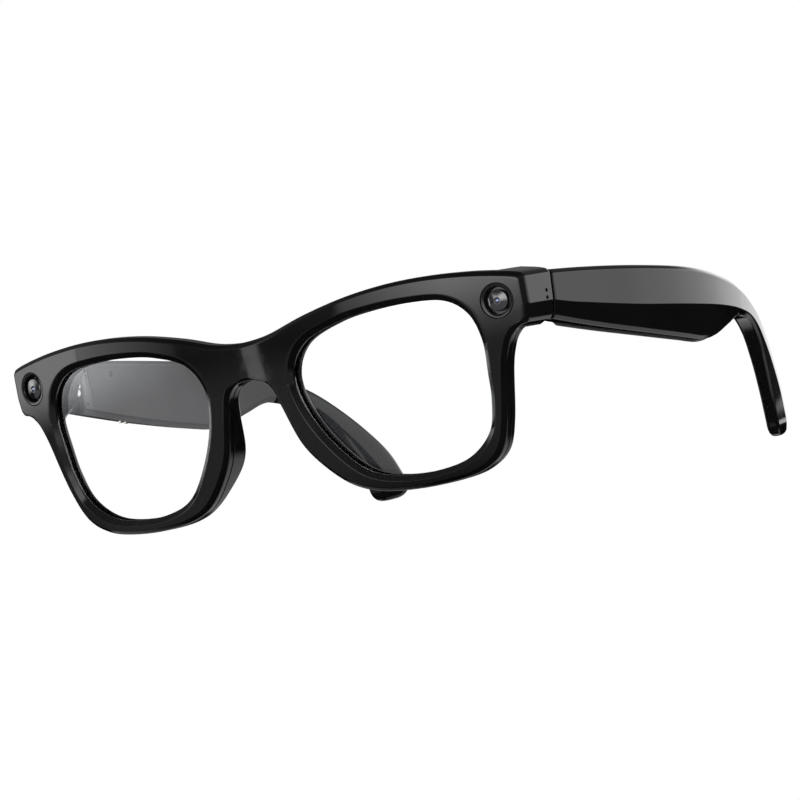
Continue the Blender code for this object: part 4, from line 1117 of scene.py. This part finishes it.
def build_world():
    """White backdrop, an even dome for matt surfaces, and softboxes for polished ones."""
    world = bpy.data.worlds.new("studio")
    world.use_nodes = True
    world.cycles.sampling_method = "NONE"
    bpy.context.scene.world = world
    g = Graph(world.node_tree)
    direction = g.add("TexCoord")
    split = g.tree.nodes.new("ShaderNodeSeparateXYZ")
    g.tree.links.new(direction, split.inputs[0])
    x, y, z = split.outputs
    azimuth = g.math("MULTIPLY", g.math("ARCTAN2", x, g.math("MULTIPLY", y, -1.0)), DEGREES)
    elevation = g.math("MULTIPLY", g.math("ARCSINE", z), DEGREES)
    studio = g.ramp(elevation, -7, 3, 0.0, AMBIENT)
    studio = g.math("ADD", studio, g.ramp(elevation, *AMBIENT_TOP[:2], 0.0, AMBIENT_TOP[2]))
    for box in SOFTBOXES:
        studio = g.math("ADD", studio, box_light(g, azimuth, elevation, box))
    rays = g.tree.nodes.new("ShaderNodeLightPath").outputs
    even = g.math("MULTIPLY", rays["Is Diffuse Ray"], DOME)
    mirrored = g.math("MULTIPLY", g.math("SUBTRACT", 1.0, rays["Is Diffuse Ray"]), studio)
    unseen = g.math("ADD", even, mirrored)
    level = g.add("Mix", {"data_type": "FLOAT"}, {"Factor": rays["Is Camera Ray"], 2: unseen, 3: 1.0})
    background = g.add("Background", None, {"Color": (1.0, 1.0, 1.0, 1.0), "Strength": level})
    g.add("OutputWorld", None, {"Surface": background})


def build_floor():
    """Pale floor that the glasses stand on; from below it is clear, like a glass table."""
    mesh = bpy.data.meshes.new("floor")
    corners = [(x * FLOOR_HALF, y * FLOOR_HALF, 0) for x, y in ((-1, -1), (1, -1), (1, 1), (-1, 1))]
    mesh.from_pydata(corners, [], [(0, 1, 2, 3)])
    floor = bpy.data.objects.new("floor", mesh)
    bpy.context.scene.collection.objects.link(floor)
    floor.location.z = CAD_BOX[0].z - FLOOR_DROP
    floor.visible_glossy = False
    material, g = new_graph("floor_pale")
    tone = g.mix_colour(g.noise(3.0, 3.0), (0.86, 0.86, 0.86), (0.88, 0.88, 0.885))
    top = g.add("BsdfDiffuse", None, {"Color": tone})
    clear = g.add("BsdfTransparent")
    g.surface(g.add("MixShader", None, {0: g.add("NewGeometry", output=6), 1: top, 2: clear}))
    mesh.materials.append(material)


def build_lights():
    """One large soft light from above, for gentle shadows on the floor."""
    data = bpy.data.lights.new("overhead", "AREA")
    data.shape = "DISK"
    data.size = 0.5
    data.energy = 1.6
    lamp = bpy.data.objects.new("overhead", data)
    lamp.location = (0.25, -0.3, 0.8)
    lamp.rotation_euler = (Vector((0, 0, 0)) - lamp.location).to_track_quat("-Z", "Y").to_euler()
    lamp.visible_glossy = False
    lamp.visible_camera = False
    bpy.context.scene.collection.objects.link(lamp)


def build_camera_view():
    """Camera low at the wearer's left front, looking slightly up."""
    flat = math.cos(CAMERA_RISE)
    back = Vector((math.sin(CAMERA_AZIMUTH) * flat, -math.cos(CAMERA_AZIMUTH) * flat, -math.sin(CAMERA_RISE)))
    level_right = Vector((0, 0, 1)).cross(back).normalized()
    level_up = back.cross(level_right)
    right = level_right * math.cos(CAMERA_ROLL) - level_up * math.sin(CAMERA_ROLL)
    up = level_up * math.cos(CAMERA_ROLL) + level_right * math.sin(CAMERA_ROLL)
    turn = LEVEL.to_3x3().normalized()
    axes = Matrix([turn @ right, turn @ up, turn @ back]).transposed()
    data = bpy.data.cameras.new("photo_view")
    data.lens = CAMERA_LENS
    data.clip_start = 0.05
    data.clip_end = 20.0
    camera = bpy.data.objects.new("photo_view", data)
    place = LEVEL @ (Vector(CAMERA_AIM) + back * CAMERA_RANGE)
    camera.matrix_world = Matrix.Translation(place) @ axes.to_4x4()
    bpy.context.scene.collection.objects.link(camera)
    bpy.context.scene.camera = camera


def main():
    mats = build_materials()
    build_front_frame(mats["shell"])
    build_rear_frame(mats["shell"])
    for side, label in ((1, "left"), (-1, "right")):
        build_lens(side, label, mats["lens"])
        build_camera(side, label, mats)
        build_temple_shell(side, label, mats["shell"])
        build_cover(side, label, mats["cover"])
    build_button(mats["button"])
    build_contacts(mats["contact"])
    build_status_light(mats["light"])
    dress_carried_over(mats)
    build_world()
    build_floor()
    build_lights()
    build_camera_view()
    bpy.context.scene.view_settings.view_transform = "Standard"


main()
